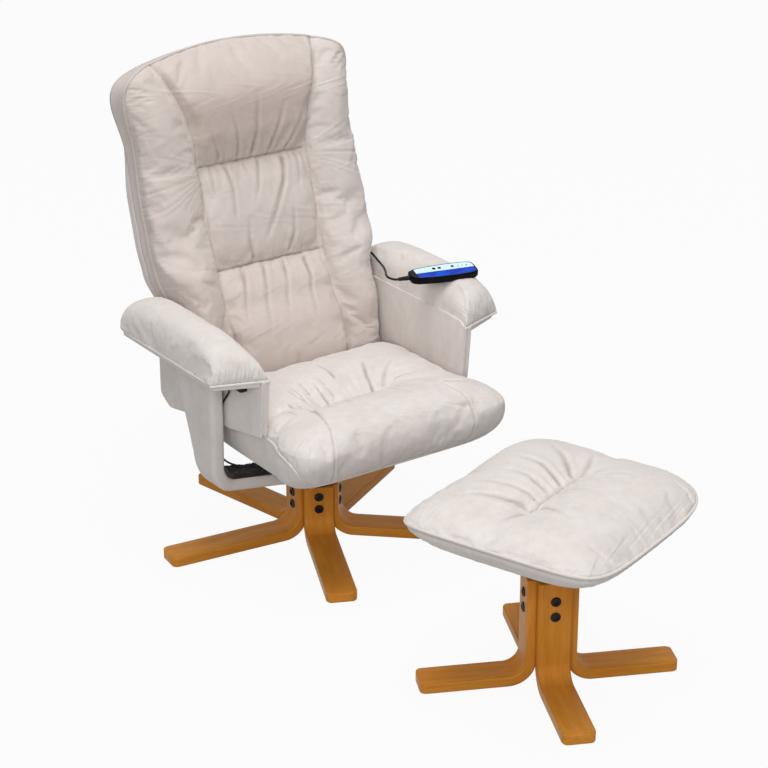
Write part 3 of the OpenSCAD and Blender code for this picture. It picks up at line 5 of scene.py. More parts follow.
import bmesh
import bpy
import numpy as np
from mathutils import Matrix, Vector


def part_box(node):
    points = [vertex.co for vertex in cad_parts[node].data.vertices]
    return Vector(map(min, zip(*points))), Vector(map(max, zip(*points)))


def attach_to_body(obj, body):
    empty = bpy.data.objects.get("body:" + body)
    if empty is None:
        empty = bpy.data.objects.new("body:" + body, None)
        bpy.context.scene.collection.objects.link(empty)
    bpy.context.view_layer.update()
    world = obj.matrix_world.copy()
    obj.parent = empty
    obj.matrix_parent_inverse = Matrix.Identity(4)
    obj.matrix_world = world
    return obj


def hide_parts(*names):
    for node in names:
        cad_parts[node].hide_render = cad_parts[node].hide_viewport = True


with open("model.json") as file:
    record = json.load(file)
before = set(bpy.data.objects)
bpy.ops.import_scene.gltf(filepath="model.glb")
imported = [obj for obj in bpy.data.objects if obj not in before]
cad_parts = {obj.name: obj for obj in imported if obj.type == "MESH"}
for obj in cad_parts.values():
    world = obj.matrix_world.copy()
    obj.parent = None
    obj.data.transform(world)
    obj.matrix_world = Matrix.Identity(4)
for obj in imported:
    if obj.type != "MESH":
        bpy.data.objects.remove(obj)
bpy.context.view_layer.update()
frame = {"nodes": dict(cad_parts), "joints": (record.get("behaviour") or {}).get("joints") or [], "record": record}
NODES = frame["nodes"]
JOINTS = {joint["name"]: joint for joint in frame["joints"]}

# Places that the frame gives
SEAT_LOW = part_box("seat_cushion")[0]
STOOL_LOW, STOOL_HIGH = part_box("stool_cushion")
PAD_LOW, PAD_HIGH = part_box("arm_pad_left")
PANEL_LOW, PANEL_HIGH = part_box("side_panel_left")
YOKE_LOW, YOKE_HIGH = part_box("yoke_cover")
HINGE = Vector(JOINTS["recline"]["pos_m"])


def middle_of(node):
    low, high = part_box(node)
    return (low + high) / 2


STOOL_AXIS = middle_of("stool_hub")
STOOL_CENTRE = (STOOL_AXIS[0], STOOL_AXIS[1], 0)
CHAIR_CENTRE = (0, 0, 0)


def lerp(a, b, t):
    return a + (b - a) * t


def link(thing):
    bpy.context.scene.collection.objects.link(thing)


# Camera
CAMERA_PLACE = Vector((-2.436, -3.744, 2.264))
CAMERA_PITCH = math.radians(23.23)
CAMERA_YAW = math.radians(-35)
SENSOR = 36
LENS = 105.47
FAR_CLIP = 60


def make_camera():
    data = bpy.data.cameras.new("photo_camera")
    data.sensor_width = SENSOR
    data.lens = LENS
    data.clip_end = FAR_CLIP
    camera = bpy.data.objects.new("photo_camera", data)
    camera.location = CAMERA_PLACE
    camera.rotation_euler = (math.pi / 2 - CAMERA_PITCH, 0, CAMERA_YAW)
    link(camera)
    bpy.context.scene.camera = camera


make_camera()
bpy.context.scene.view_settings.view_transform = "Standard"


# Node helpers
def add_node(tree, kind, **settings):
    node = tree.nodes.new(kind)
    for name, value in settings.items():
        if name in node.inputs:
            node.inputs[name].default_value = value
        else:
            setattr(node, name, value)
    return node


def noise_node(tree, vector, scale, detail=2.0, rough=0.5):
    node = add_node(tree, "ShaderNodeTexNoise", Scale=scale, Detail=detail, Roughness=rough)
    tree.links.new(vector, node.inputs["Vector"])
    return node.outputs["Fac"]


def map_node(tree, value, low, high, out_low=0.0, out_high=1.0):
    node = add_node(tree, "ShaderNodeMapRange")
    for name, v in (("From Min", low), ("From Max", high), ("To Min", out_low), ("To Max", out_high)):
        node.inputs[name].default_value = v
    tree.links.new(value, node.inputs["Value"])
    return node.outputs["Result"]


def math_node(tree, operation, a, b):
    node = add_node(tree, "ShaderNodeMath", operation=operation)
    for socket, value in zip(node.inputs, (a, b)):
        if isinstance(value, (int, float)):
            socket.default_value = value
        else:
            tree.links.new(value, socket)
    return node.outputs[0]


def shares_node(tree, *parts):
    """Adds values up, each times its share."""
    shares = [math_node(tree, "MULTIPLY", value, share) for value, share in parts]
    total = shares[-1]
    for share in reversed(shares[:-1]):
        total = math_node(tree, "ADD", share, total)
    return total


def mix_node(tree, mask, a, b):
    node = add_node(tree, "ShaderNodeMix", data_type="RGBA")
    tree.links.new(mask, node.inputs[0])
    for socket, value in ((node.inputs[6], a), (node.inputs[7], b)):
        if isinstance(value, tuple):
            socket.default_value = (*value, 1)
        else:
            tree.links.new(value, socket)
    return node.outputs[2]


def stretched(tree, vector, scale):
    node = add_node(tree, "ShaderNodeMapping", Scale=scale)
    tree.links.new(vector, node.inputs["Vector"])
    return node.outputs["Vector"]


def new_group(name, inputs, outputs):
    """A shader node group with named float, vector and colour sockets."""
    group = bpy.data.node_groups.new(name, "ShaderNodeTree")
    kinds = {"v": "NodeSocketVector", "f": "NodeSocketFloat", "c": "NodeSocketColor"}
    for label, kind in inputs:
        group.interface.new_socket(label, in_out="INPUT", socket_type=kinds[kind])
    for label, kind in outputs:
        group.interface.new_socket(label, in_out="OUTPUT", socket_type=kinds[kind])
    return group, group.nodes.new("NodeGroupInput"), group.nodes.new("NodeGroupOutput")


def nap_group():
    """The patches, streaks and fine pile of a brushed nap."""
    group, source, out = new_group("brushed_nap", [("Place", "v")],
                                   [("Patches", "f"), ("Shade", "f"), ("Height", "f")])
    place = source.outputs["Place"]
    brushed = stretched(group, place, (60, 60, 12))
    patches = map_node(group, noise_node(group, place, scale=17, detail=5, rough=0.66), low=0.26, high=0.74)
    streaks = map_node(group, noise_node(group, brushed, scale=1, detail=4, rough=0.6), low=0.30, high=0.74)
    rubs = map_node(group, noise_node(group, place, scale=48, detail=4, rough=0.65), low=0.34, high=0.68)
    shade = shares_node(group, (patches, 0.5), (streaks, 0.25), (rubs, 0.25))
    pile = noise_node(group, place, scale=1500, detail=2, rough=0.6)
    crumple = noise_node(group, place, scale=75, detail=4, rough=0.6)
    height = shares_node(group, (pile, 0.10), (crumple, 0.9))
    group.links.new(patches, out.inputs["Patches"])
    group.links.new(shade, out.inputs["Shade"])
    group.links.new(height, out.inputs["Height"])
    return group


VENEER_T = 0.0024


def grain_group():
    """Lacquered bent laminate. Place runs along the leg, across it and into its thickness, in metres."""
    group, source, out = new_group("bent_laminate", [("Place", "v"), ("Object Place", "v")],
                                   [("Figure", "f"), ("Layers", "f"), ("Pores", "f")])
    place = source.outputs["Place"]
    figure = noise_node(group, stretched(group, place, (7, 60, 60)), scale=1, detail=5, rough=0.62)
    fine = noise_node(group, stretched(group, place, (22, 420, 420)), scale=1, detail=3, rough=0.55)
    tone = noise_node(group, source.outputs["Object Place"], scale=6, detail=2, rough=0.5)
    both = shares_node(group, (figure, 0.55), (fine, 0.3), (tone, 0.25))
    split = add_node(group, "ShaderNodeSeparateXYZ")
    group.links.new(place, split.inputs[0])
    layer = math_node(group, "FRACT", math_node(group, "MULTIPLY", split.outputs["Z"], 1 / VENEER_T), 0)
    from_middle = math_node(group, "ABSOLUTE", math_node(group, "SUBTRACT", layer, 0.5), 0)
    group.links.new(map_node(group, both, low=0.38, high=0.72), out.inputs["Figure"])
    group.links.new(map_node(group, from_middle, low=0.30, high=0.48), out.inputs["Layers"])
    group.links.new(fine, out.inputs["Pores"])
    return group


def speck_group():
    """Fine mottling and scuffs for plastic, paint and metal."""
    group, source, out = new_group("fine_speckle", [("Place", "v"), ("Scale", "f")],
                                   [("Speckle", "f"), ("Scuffs", "f")])
    speckle = add_node(group, "ShaderNodeTexNoise", Detail=3.0)
    group.links.new(source.outputs["Place"], speckle.inputs["Vector"])
    group.links.new(source.outputs["Scale"], speckle.inputs["Scale"])
    drawn = stretched(group, source.outputs["Place"], (30, 90, 60))
    scuffs = noise_node(group, drawn, scale=1, detail=4, rough=0.65)
    group.links.new(speckle.outputs["Fac"], out.inputs["Speckle"])
    group.links.new(map_node(group, scuffs, low=0.42, high=0.7), out.inputs["Scuffs"])
    return group


NAP = nap_group()
GRAIN = grain_group()
SPECK = speck_group()


def blank_material(name):
    """A material with its shader, and the object's own coordinates."""
    material = bpy.data.materials.new(name)
    material.use_nodes = True
    tree = material.node_tree
    shader = tree.nodes["Principled BSDF"]
    place = tree.nodes.new("ShaderNodeTexCoord").outputs["Object"]
    return material, tree, shader, place


def use_group(tree, group, **links):
    node = tree.nodes.new("ShaderNodeGroup")
    node.node_tree = group
    for label, value in links.items():
        socket = node.inputs[label.replace("_", " ")]
        if isinstance(value, (int, float)):
            socket.default_value = value
        else:
            tree.links.new(value, socket)
    return node.outputs


def set_sockets(shader, **values):
    for label, value in values.items():
        shader.inputs[label.replace("_", " ")].default_value = value


def read_attribute(tree, name):
    node = tree.nodes.new("ShaderNodeAttribute")
    node.attribute_name = name
    return node.outputs


def put_bump(tree, shader, height, strength, distance):
    node = add_node(tree, "ShaderNodeBump", Strength=strength, Distance=distance)
    tree.links.new(height, node.inputs["Height"])
    tree.links.new(node.outputs["Normal"], shader.inputs["Normal"])


def suede_material(name, light, dark, deep, worn_and_shade_tone, bump_strength=0.45):
    material, tree, shader, place = blank_material(name)
    nap = use_group(tree, NAP, Place=place)
    # Painted shade: creases, seams and tuft lines darken towards the deep colour by how deep they are pressed in.
    crease_shade_mask = map_node(tree, read_attribute(tree, "painted_crease_shade")["Fac"], low=0.12, high=0.85)
    nap_tone = mix_node(tree, nap["Shade"], dark, light)
    # A brown tone, partly rubbed nap and partly painted shade, where the mesh notes it.
    cloth = mix_node(tree, read_attribute(tree, "worn_and_shade")["Fac"], nap_tone, worn_and_shade_tone)
    shaded = mix_node(tree, math_node(tree, "MULTIPLY", crease_shade_mask, 0.62), cloth, deep)
    rough = map_node(tree, nap["Patches"], 0, 1, out_low=0.96, out_high=0.82)
    tree.links.new(shaded, shader.inputs["Base Color"])
    tree.links.new(rough, shader.inputs["Roughness"])
    set_sockets(shader, Sheen_Weight=0.25, Sheen_Roughness=0.5, Specular_IOR_Level=0.15)
    put_bump(tree, shader, nap["Height"], bump_strength, distance=0.0016)
    return material


def wood_material(name, pale, deep, edge, coat, attribute=True):
    material, tree, shader, place = blank_material(name)
    along = read_attribute(tree, "grain")["Vector"] if attribute else place
    grain = use_group(tree, GRAIN, Place=along, Object_Place=place)
    figured = mix_node(tree, grain["Figure"], deep, pale)
    layered = mix_node(tree, math_node(tree, "MULTIPLY", grain["Layers"], 0.55), figured, edge)
    tree.links.new(layered, shader.inputs["Base Color"])
    rough = map_node(tree, grain["Pores"], low=0.3, high=0.7, out_low=0.30, out_high=0.48)
    tree.links.new(rough, shader.inputs["Roughness"])
    set_sockets(shader, Coat_Weight=coat, Coat_Roughness=0.25, Specular_IOR_Level=0.08)
    put_bump(tree, shader, grain["Pores"], strength=0.12, distance=0.0004)
    return material


METAL_SPECULAR = 0.5


def hard_material(name, colour, other, rough, metal=0.0, scale=700.0, bump_strength=0.1, coat=0.0,
                  gloss=0.14):
    material, tree, shader, place = blank_material(name)
    speck = use_group(tree, SPECK, Place=place, Scale=scale)
    tree.links.new(mix_node(tree, speck["Scuffs"], colour, other), shader.inputs["Base Color"])
    scuffed = map_node(tree, speck["Scuffs"], 0, 1, out_low=rough, out_high=min(rough + 0.16, 1))
    tree.links.new(scuffed, shader.inputs["Roughness"])
    set_sockets(shader, Metallic=metal, Coat_Weight=coat,
                Specular_IOR_Level=METAL_SPECULAR if metal > 0.5 else gloss)
    put_bump(tree, shader, speck["Speckle"], bump_strength, distance=0.0002)
    return material


# Linear colours of each finish. Suede: light, dark, painted shade in creases and seams, and a brown tone that is
# partly rubbed nap and partly painted shade
CREAM_SUEDE = [(0.750, 0.715, 0.692), (0.630, 0.565, 0.525), (0.290, 0.235, 0.205), (0.500, 0.400, 0.350)]
# A darker copy of the cream suede: painted shade, for the back's piping
SHADED_SUEDE = [(0.640, 0.590, 0.560), (0.540, 0.470, 0.430), (0.290, 0.235, 0.205), (0.500, 0.400, 0.350)]
BLACK_LINING = [(0.050, 0.038, 0.036), (0.014, 0.011, 0.011), (0.004, 0.003, 0.003), (0.03, 0.02, 0.02)]
# Wood: pale and deep figure, and the glue lines
AMBER_LAMINATE = [(0.76, 0.325, 0.048), (0.540, 0.195, 0.018), (0.28, 0.085, 0.010)]
BARE_PLYWOOD = [(0.62, 0.46, 0.28), (0.50, 0.34, 0.19), (0.40, 0.26, 0.14)]
# Slot: name, plain colour, colour of its scuffs, roughness, and what else differs
HARD_FINISHES = {
    "black_steel": ("black_paint", (0.014, 0.014, 0.015), (0.03, 0.03, 0.032), 0.42,
                    {"scale": 500, "bump_strength": 0.2}),
    "bolt_cap": ("black_bolt", (0.010, 0.010, 0.012), (0.03, 0.03, 0.034), 0.34, {"metal": 0.3, "scale": 900}),
    "bare_steel": ("zinc_steel", (0.52, 0.52, 0.54), (0.40, 0.40, 0.42), 0.34, {"metal": 1.0, "scale": 300}),
    "strut_chrome": ("ground_rod", (0.70, 0.70, 0.72), (0.62, 0.62, 0.64), 0.12,
                     {"metal": 1.0, "scale": 900, "bump_strength": 0.03}),
    "black_plastic": ("black_moulding", (0.012, 0.012, 0.013), (0.028, 0.028, 0.03), 0.45,
                      {"scale": 1400, "bump_strength": 0.3}),
    "white_plastic": ("white_moulding", (0.78, 0.78, 0.75), (0.68, 0.68, 0.65), 0.4, {}),
    "lead_rubber": ("black_rubber", (0.010, 0.010, 0.011), (0.022, 0.022, 0.023), 0.5,
                    {"scale": 900, "bump_strength": 0.15}),
    "handset_black": ("gloss_black", (0.004, 0.004, 0.005), (0.008, 0.008, 0.010), 0.16,
                      {"scale": 500, "bump_strength": 0.03, "coat": 0.04, "gloss": 0.06}),
    "handset_plate": ("pale_faceplate", (0.66, 0.86, 0.95), (0.60, 0.82, 0.93), 0.22,
                      {"scale": 500, "bump_strength": 0.03, "coat": 0.1}),
    "handset_blue": ("clear_blue", (0.002, 0.028, 0.40), (0.006, 0.090, 0.66), 0.12,
                     {"scale": 60, "bump_strength": 0.03, "coat": 0.05, "gloss": 0.05}),
    "circuit_green": ("circuit_board", (0.02, 0.16, 0.06), (0.03, 0.20, 0.08), 0.4, {})}


def make_materials():
    made = {
        "suede": suede_material("cream_suede", *CREAM_SUEDE),
        "shade_painted_suede": suede_material("shaded_suede", *SHADED_SUEDE),
        "black_cloth": suede_material("black_lining", *BLACK_LINING, bump_strength=0.8),
        "amber_wood": wood_material("amber_laminate", *AMBER_LAMINATE, coat=0.05),
        "raw_wood": wood_material("bare_plywood", *BARE_PLYWOOD, coat=0.0, attribute=False)}
    for slot, (name, plain, scuffs, rough, others) in HARD_FINISHES.items():
        made[slot] = hard_material(name, plain, scuffs, rough, **others)
    return made


MATERIALS = make_materials()


def dress_frame():
    """Gives every carried-over node the material of its slot."""
    for entry in frame["record"]["subparts"]:
        node = NODES[entry["node"]]
        node.data.materials.clear()
        node.data.materials.append(MATERIALS[entry["material_slot"]])


dress_frame()


MERGE_DIST = 1e-6


def place_piece(bm, name, body, slot, stands_for=(), sharp=40, material=None):
    """Closes a modelled piece: merged, faces outward, smooth but for its sharp edges, riding on a body."""
    bmesh.ops.remove_doubles(bm, verts=bm.verts, dist=MERGE_DIST)
    bmesh.ops.recalc_face_normals(bm, faces=bm.faces)
    mesh = bpy.data.meshes.new(name)
    bm.to_mesh(mesh)
    bm.free()
    smooth_faces(mesh)
    mesh.set_sharp_from_angle(angle=math.radians(sharp))
    mesh.materials.append(material or MATERIALS[slot])
    piece = bpy.data.objects.new(name, mesh)
    link(piece)
    attach(piece, body, stands_for)
    return piece


def smooth_faces(mesh):
    for face in mesh.polygons:
        face.use_smooth = True


def attach(piece, body, stands_for=()):
    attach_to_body(piece, body)
    if stands_for:
        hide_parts(*stands_for)


# Cords
def smooth_route(points, steps):
    """Catmull-Rom points through a route."""
    p = [Vector(q) for q in points]
    out = []
    for i in range(len(p) - 1):
        a, b, c, d = p[max(i - 1, 0)], p[i], p[i + 1], p[min(i + 2, len(p) - 1)]
        for k in range(steps):
            t = k / steps
            out.append((2 * b + (c - a) * t + (2 * a - 5 * b + 4 * c - d) * t * t
                        + (3 * b - a - 3 * c + d) * t ** 3) / 2)
    return out + [p[-1]]


def tube(name, points, radius, material, closed=False):
    """A round tube along points, as a curve."""
    data = bpy.data.curves.new(name, "CURVE")
    data.dimensions = "3D"
    data.bevel_depth = radius
    data.bevel_resolution = 3
    data.use_fill_caps = True
    spline = data.splines.new("POLY")
    spline.points.add(len(points) - 1)
    for point, place in zip(spline.points, points):
        point.co = (*place, 1)
    spline.use_cyclic_u = closed
    spline.use_smooth = True
    data.materials.append(material)
    piece = bpy.data.objects.new(name, data)
    link(piece)
    return piece


LEAD_D = 0.005
CABLE_D = 0.004
CORD_STEPS = 6
# The same points as in the part's source, in metres
LEAD_ROUTE = [
    (.254, .2095, .470), (.254, .210, .475), (.254, .213, .481), (.254, .220, .486), (.254, .229, .488),
    (.254, .235, .494), (.255, .236, .504), (.257, .232, .517), (.260, .222, .531), (.262, .206, .542),
    (.261, .180, .5495), (.256, .150, .551), (.251, .128, .549), (.244, .103, .547), (.234, .078, .549),
    (.220, .050, .554), (.205, .025, .560), (.192, .003, .565), (.180, -.015, .570), (.168, -.033, .5735),
    (.160, -.050, .5755), (.1595, -.062, .5756), (.1635, -.070, .5751), (.1695, -.0731, .5747),
    (.178, -.0751, .5747)]
RUN_ROUTE = [
    (.150, .060, .232), (.150, .070, .232), (.154, .086, .231), (.166, .105, .229), (.184, .128, .230),
    (.204, .152, .236), (.224, .176, .248), (.243, .197, .268), (.252, .207, .292), (.254, .2095, .318),
    (.254, .2095, .345), (.254, .2095, .395), (.254, .2095, .435), (.254, .2095, .470)]
CABLE_ROUTE = [
    (0, -.0865, .2256), (0, -.093, .2256), (-.014, -.102, .225), (-.045, -.106, .224), (-.090, -.104, .224),
    (-.140, -.096, .225), (-.185, -.082, .228), (-.225, -.060, .236), (-.250, -.045, .248),
    (-.262, -.040, .268), (-.2655, -.040, .295), (-.2655, -.046, .345), (-.2655, -.058, .385),
    (-.2655, -.078, .412), (-.2665, -.091, .428), (-.272, -.096, .438), (-.279, -.096, .442),
    (-.283, -.094, .446), (-.283, -.094, .449)]


def make_cords():
    free = smooth_route(LEAD_ROUTE, CORD_STEPS)
    lead = tube("handset_lead_free", free, LEAD_D / 2, MATERIALS["lead_rubber"])
    attach(lead, "chair_frame", ["handset_lead"])
    for name, route, thick, node in (("lead_clipped", RUN_ROUTE, LEAD_D, "lead_run"),
                                     ("release_sheath", CABLE_ROUTE, CABLE_D, "release_cable")):
        cord = tube(name, smooth_route(route, CORD_STEPS), thick / 2, MATERIALS["lead_rubber"])
        attach(cord, "chair_frame", [node])


make_cords()


# Upholstery tools
def soft_wave(v, seed=0.0):
    """Uneven swings from about -1 to 1."""
    slow, middling = np.sin(v * 2.1 + seed), np.sin(v * 3.7 + 1.3 + 2 * seed)
    return (slow + middling + 0.7 * np.sin(v * 6.1 + 0.7 + 3 * seed)) / 2.7


def rumple(a, b, height, across, along, seeds):
    """Slight uneven swells all over a skin. across: pitch, lean and the lean's pitch; along: pitch, lean."""
    wide = soft_wave(a * across[0] + across[1] * soft_wave(b * across[2]), seeds[0])
    return height * wide * soft_wave(b * along[0] + along[1] * a, seeds[1])


def ease(v):
    t = np.clip(v, 0, 1)
    return t * t * (3 - 2 * t)


def hill(v, width):
    """A smooth hill of height 1 at zero."""
    return np.exp(-(v / width) ** 2)


def squircle(u, v, n):
    """Rounds the corners of the unit square."""
    s = np.maximum(np.maximum(np.abs(u), np.abs(v)), 1e-6)
    k = s / (np.abs(u) ** n + np.abs(v) ** n + 1e-12) ** (1 / n)
    return u * k, v * k


def two_corners(u, v, upper, low_n, high_n):
    """The unit square with one rounding of its corners in its upper part and another in the rest."""
    low, high = squircle(u, v, low_n), squircle(u, v, high_n)
    return [np.where(upper, above, below) for above, below in zip(high, low)]


def rows_at(rows, b):
    """Eased values between the rows of a table."""
    out = np.full_like(b, rows[-1][1])
    for (b0, v0), (b1, v1) in reversed(list(zip(rows, rows[1:]))):
        out = np.where(b <= b1, v0 + (v1 - v0) * ease((b - b0) / (b1 - b0)), out)
    return out


def fine_table(table, steps=12):
    """A rounded curve through a table, by Catmull-Rom."""
    return smooth_route([(a, b, 0) for a, b in table], steps)


def smooth_table(table, at):
    fine = fine_table(table)
    return np.interp(at, [p[0] for p in fine], [p[1] for p in fine])


def gathers(along, away, pitch, reach, depth, seed=0.0):
    """Uneven folds that start square to a seam and die out away from it."""
    s = along / pitch
    s = s + 0.45 * soft_wave(s * 0.41, seed) + 0.5 * soft_wave(away / reach * 1.4 + s * 0.2, seed + 2)
    fold = np.abs(np.sin(np.pi * s)) ** 0.55 - 0.62
    own_reach = reach * (0.62 + 0.38 * soft_wave(s * 0.55, seed + 5))
    strength = 0.62 + 0.38 * soft_wave(s * 0.8, seed + 9)
    return depth * strength * fold * np.exp(-(away / own_reach) ** 2)


def crease(x, y, points, width, depth, tail=1.0):
    """A fold pressed along a line and raised at both sides. It fades towards the line's end."""
    best = np.full_like(x, 1e3)
    along = np.zeros_like(x)
    lengths = [math.dist(a, b) for a, b in zip(points, points[1:])]
    run = 0.0
    for (ax, ay), (bx, by), length in zip(points, points[1:], lengths):
        t = np.clip(((x - ax) * (bx - ax) + (y - ay) * (by - ay)) / length ** 2, 0, 1)
        off = np.hypot(x - ax - t * (bx - ax), y - ay - t * (by - ay))
        near = off < best
        best = np.where(near, off, best)
        along = np.where(near, (run + t * length) / sum(lengths), along)
        run += length
    fade = np.clip(1 - along, 0, 1) ** tail * ease(along * 8 + 0.35)
    k = best / width
    return -depth * fade * (np.exp(-k * k) - 0.42 * np.exp(-(k - 1.9) ** 2 / 1.1))


def seam_groove(off, width=0.0022, depth=0.0024):
    """A narrow sewn line: the stitch pulls in, the cloth stands up beside it."""
    k = np.abs(off) / width
    return -depth * (np.exp(-k * k) - 0.30 * np.exp(-(k - 2.2) ** 2))


def edge_dense(v, amount=0.7):
    """Draws grid lines together towards the rim, where the form turns down."""
    return v + (np.sin(v * np.pi / 2) - v) * amount


def skin_grid(name, cells, rings, place):
    """A skin: a grid whose rim is extruded down ring by ring. It stays open below until it is finished.

    place(u, v, k) puts the points where they belong; k counts the rings from 0 at the top.
    """
    bm = bmesh.new()
    bmesh.ops.create_grid(bm, x_segments=cells[0], y_segments=cells[1], size=1)
    share = bm.verts.layers.float_vector.new("share")
    for vert in bm.verts:
        vert[share] = (vert.co.x, vert.co.y, 0)
    rim = [edge for edge in bm.edges if edge.is_boundary]
    for k in range(1, rings + 1):
        grown = bmesh.ops.extrude_edge_only(bm, edges=rim)["geom"]
        rim = [g for g in grown if isinstance(g, bmesh.types.BMEdge) and g.is_boundary]
        for vert in {vert for edge in rim for vert in edge.verts}:
            vert[share] = (vert[share][0], vert[share][1], k)
    mesh = bpy.data.meshes.new(name)
    bm.to_mesh(mesh)
    bm.free()
    piece = bpy.data.objects.new(name, mesh)
    link(piece)
    put_points(piece, place(*shares_of(piece)))
    return piece


def shares_of(piece):
    data = np.empty(len(piece.data.vertices) * 3, np.float32)
    piece.data.attributes["share"].data.foreach_get("vector", data)
    return data.reshape(-1, 3).astype(float).T


def points_of(piece):
    data = np.empty(len(piece.data.vertices) * 3, np.float32)
    piece.data.vertices.foreach_get("co", data)
    return data.reshape(-1, 3).astype(float)


def put_points(piece, points):
    piece.data.vertices.foreach_set("co", np.asarray(points, np.float32).ravel())
    piece.data.update()


def face_outwards(piece):
    bm = bmesh.new()
    bm.from_mesh(piece.data)
    bmesh.ops.recalc_face_normals(bm, faces=bm.faces)
    bm.to_mesh(piece.data)
    bm.free()


CLOTH_STEPS = 20
SOFT_HOLD = 0.35
CLOTH = {"quality": 4, "mass": 0.35, "tension_stiffness": 18, "compression_stiffness": 18, "shear_stiffness": 6,
         "bending_stiffness": 0.6, "use_pressure": True, "vertex_group_mass": "sewn"}


def puff(piece, held, cap, pressure=4.0, growth=0.03):
    """Swells a skin between its seams as cloth under pressure. held says which points are sewn down."""
    start = points_of(piece)
    group = piece.vertex_groups.new(name="sewn")
    for weight in (SOFT_HOLD, 1.0):
        group.add([int(i) for i in np.nonzero(held >= weight)[0]], weight, "REPLACE")
    modifier = piece.modifiers.new("Cloth", "CLOTH")
    cloth = modifier.settings
    for setting, value in CLOTH.items():
        setattr(cloth, setting, value)
    cloth.uniform_pressure_force = pressure
    cloth.shrink_min = -growth
    cloth.effector_weights.gravity = 0
    modifier.point_cache.frame_start = 1
    modifier.point_cache.frame_end = CLOTH_STEPS
    scene = bpy.context.scene
    for frame_number in range(1, CLOTH_STEPS + 1):
        scene.frame_set(frame_number)
    swollen = piece.evaluated_get(bpy.context.evaluated_depsgraph_get())
    moved = np.empty(len(start) * 3, np.float32)
    swollen.data.vertices.foreach_get("co", moved)
    step = moved.reshape(-1, 3) - start
    length = np.linalg.norm(step, axis=1, keepdims=True)
    step *= cap * np.tanh(length / cap) / np.maximum(length, 1e-9)
    piece.modifiers.remove(modifier)
    piece.vertex_groups.clear()
    scene.frame_set(1)
    put_points(piece, start + step)


def refine(piece, levels=1):
    """Subdivides the skin for good."""
    modifier = piece.modifiers.new("Subdivision", "SUBSURF")
    modifier.levels = modifier.render_levels = levels
    old = piece.data
    piece.data = bpy.data.meshes.new_from_object(piece.evaluated_get(bpy.context.evaluated_depsgraph_get()))
    piece.modifiers.clear()
    bpy.data.meshes.remove(old)


# Press depth at which the painted shade in creases is full.
CREASE_SHADE_DEPTH = 0.0046


def on_rim(u, v):
    return np.maximum(np.abs(u), np.abs(v)) > 0.999


def rim_share(u, v):
    """How far a point lies inside the rim, as a share of the half width."""
    return 1 - np.maximum(np.abs(edge_dense(u)), np.abs(edge_dense(v)))


def round_rim(u, v, x, y):
    """Runs along the side that a point lies nearest to."""
    return np.where(np.abs(u) > np.abs(v), y, x)


def press(piece, depth):
    """Moves every point along its normal, and notes how deep it lies, so that the colour takes painted shade in
    creases and seams.
    """
    normals = np.empty(len(piece.data.vertices) * 3, np.float32)
    piece.data.vertices.foreach_get("normal", normals)
    put_points(piece, points_of(piece) + normals.reshape(-1, 3) * depth[:, None])
    painted_crease_shade = piece.data.attributes.new("painted_crease_shade", "FLOAT", "POINT")
    painted_crease_shade.data.foreach_set("value", np.clip(-depth / CREASE_SHADE_DEPTH, 0, 1).astype(np.float32))


def paint_worn_and_shade(piece, share):
    """Notes where the nap is rubbed brown by use, and where painted shade browns and darkens it."""
    worn_and_shade = piece.data.attributes.new("worn_and_shade", "FLOAT", "POINT")
    worn_and_shade.data.foreach_set("value", np.clip(share, 0, 1).astype(np.float32))


def close_below(piece):
    bm = bmesh.new()
    bm.from_mesh(piece.data)
    bmesh.ops.contextual_create(bm, geom=[edge for edge in bm.edges if edge.is_boundary])
    bmesh.ops.recalc_face_normals(bm, faces=bm.faces)
    bm.to_mesh(piece.data)
    bm.free()


def finish_pad(piece, body, node, slot="suede"):
    close_below(piece)
    smooth_faces(piece.data)
    piece.data.materials.clear()
    piece.data.materials.append(MATERIALS[slot])
    attach(piece, body, [node] if node else ())


PIPING_R = 0.0030


def piping(name, points, body, closed=True, radius=PIPING_R, cloth="suede"):
    """A self-covered cord sewn into a seam."""
    cord = tube(name, points, radius, MATERIALS[cloth], closed)
    attach(cord, body)
    return cord


def rim_points(place, k=0, n=90, sides=(0, 1, 2, 3)):
    """Points round the rim of a unit square, as place() puts them."""
    t = np.linspace(-1, 1, n, endpoint=False)
    one = np.ones_like(t)
    runs = [(t, -one), (one, t), (-t, one), (-one, -t)]
    u = np.concatenate([runs[i][0] for i in sides])
    v = np.concatenate([runs[i][1] for i in sides])
    return [tuple(p) for p in place(u, v, np.full_like(u, k))]


# Seat cushion
SEAT_HALF_W = 0.243
SEAT_SWELL = 0.021
SEAT_MID_Y = -0.160
SEAT_FRONT_Y = -0.371
SEAT_REAR_Y = 0.052
SEAT_REAR_SIDE_Y = 0.112
SEAT_Z = SEAT_LOW[2]
SEAT_CROWN_H = 0.144
SEAT_EDGE_H = 0.094
SEAT_RINGS = 14
SEAT_ROLL_IN = 0.074
SEAT_TUFT_D = 0.026
SEAT_TUFT_Y = SEAT_MID_Y - 0.016
SEAT_TUFT_X = (-0.085, 0.048)
SEAT_TUFT_REACH = (0.028, 0.034)
SEAT_HOLLOW = 0.010
SEAT_HOLLOW_REACH = (0.075, 0.085)
SEAT_CORNERS = (8, 6)
SEAT_CELLS = (104, 104)
SEAT_CAP = 0.010
SEAT_EDGE_REACH = 0.24
# How far down the wall the piping runs: share of the depth, share of the wall
PIPING_DROP = [(-1, .82), (-.97, .79), (-.95, .74), (-.90, .53), (-.84, .32), (-.73, .15), (-.56, .07),
               (-.36, .11), (-.14, .06), (.05, 0), (.4, 0), (1, 0)]


def piping_drop(py):
    return np.clip(smooth_table(PIPING_DROP, py), 0, 1)


def seat_front_share(u, v):
    return squircle(edge_dense(u), edge_dense(v), SEAT_CORNERS[0])[1]


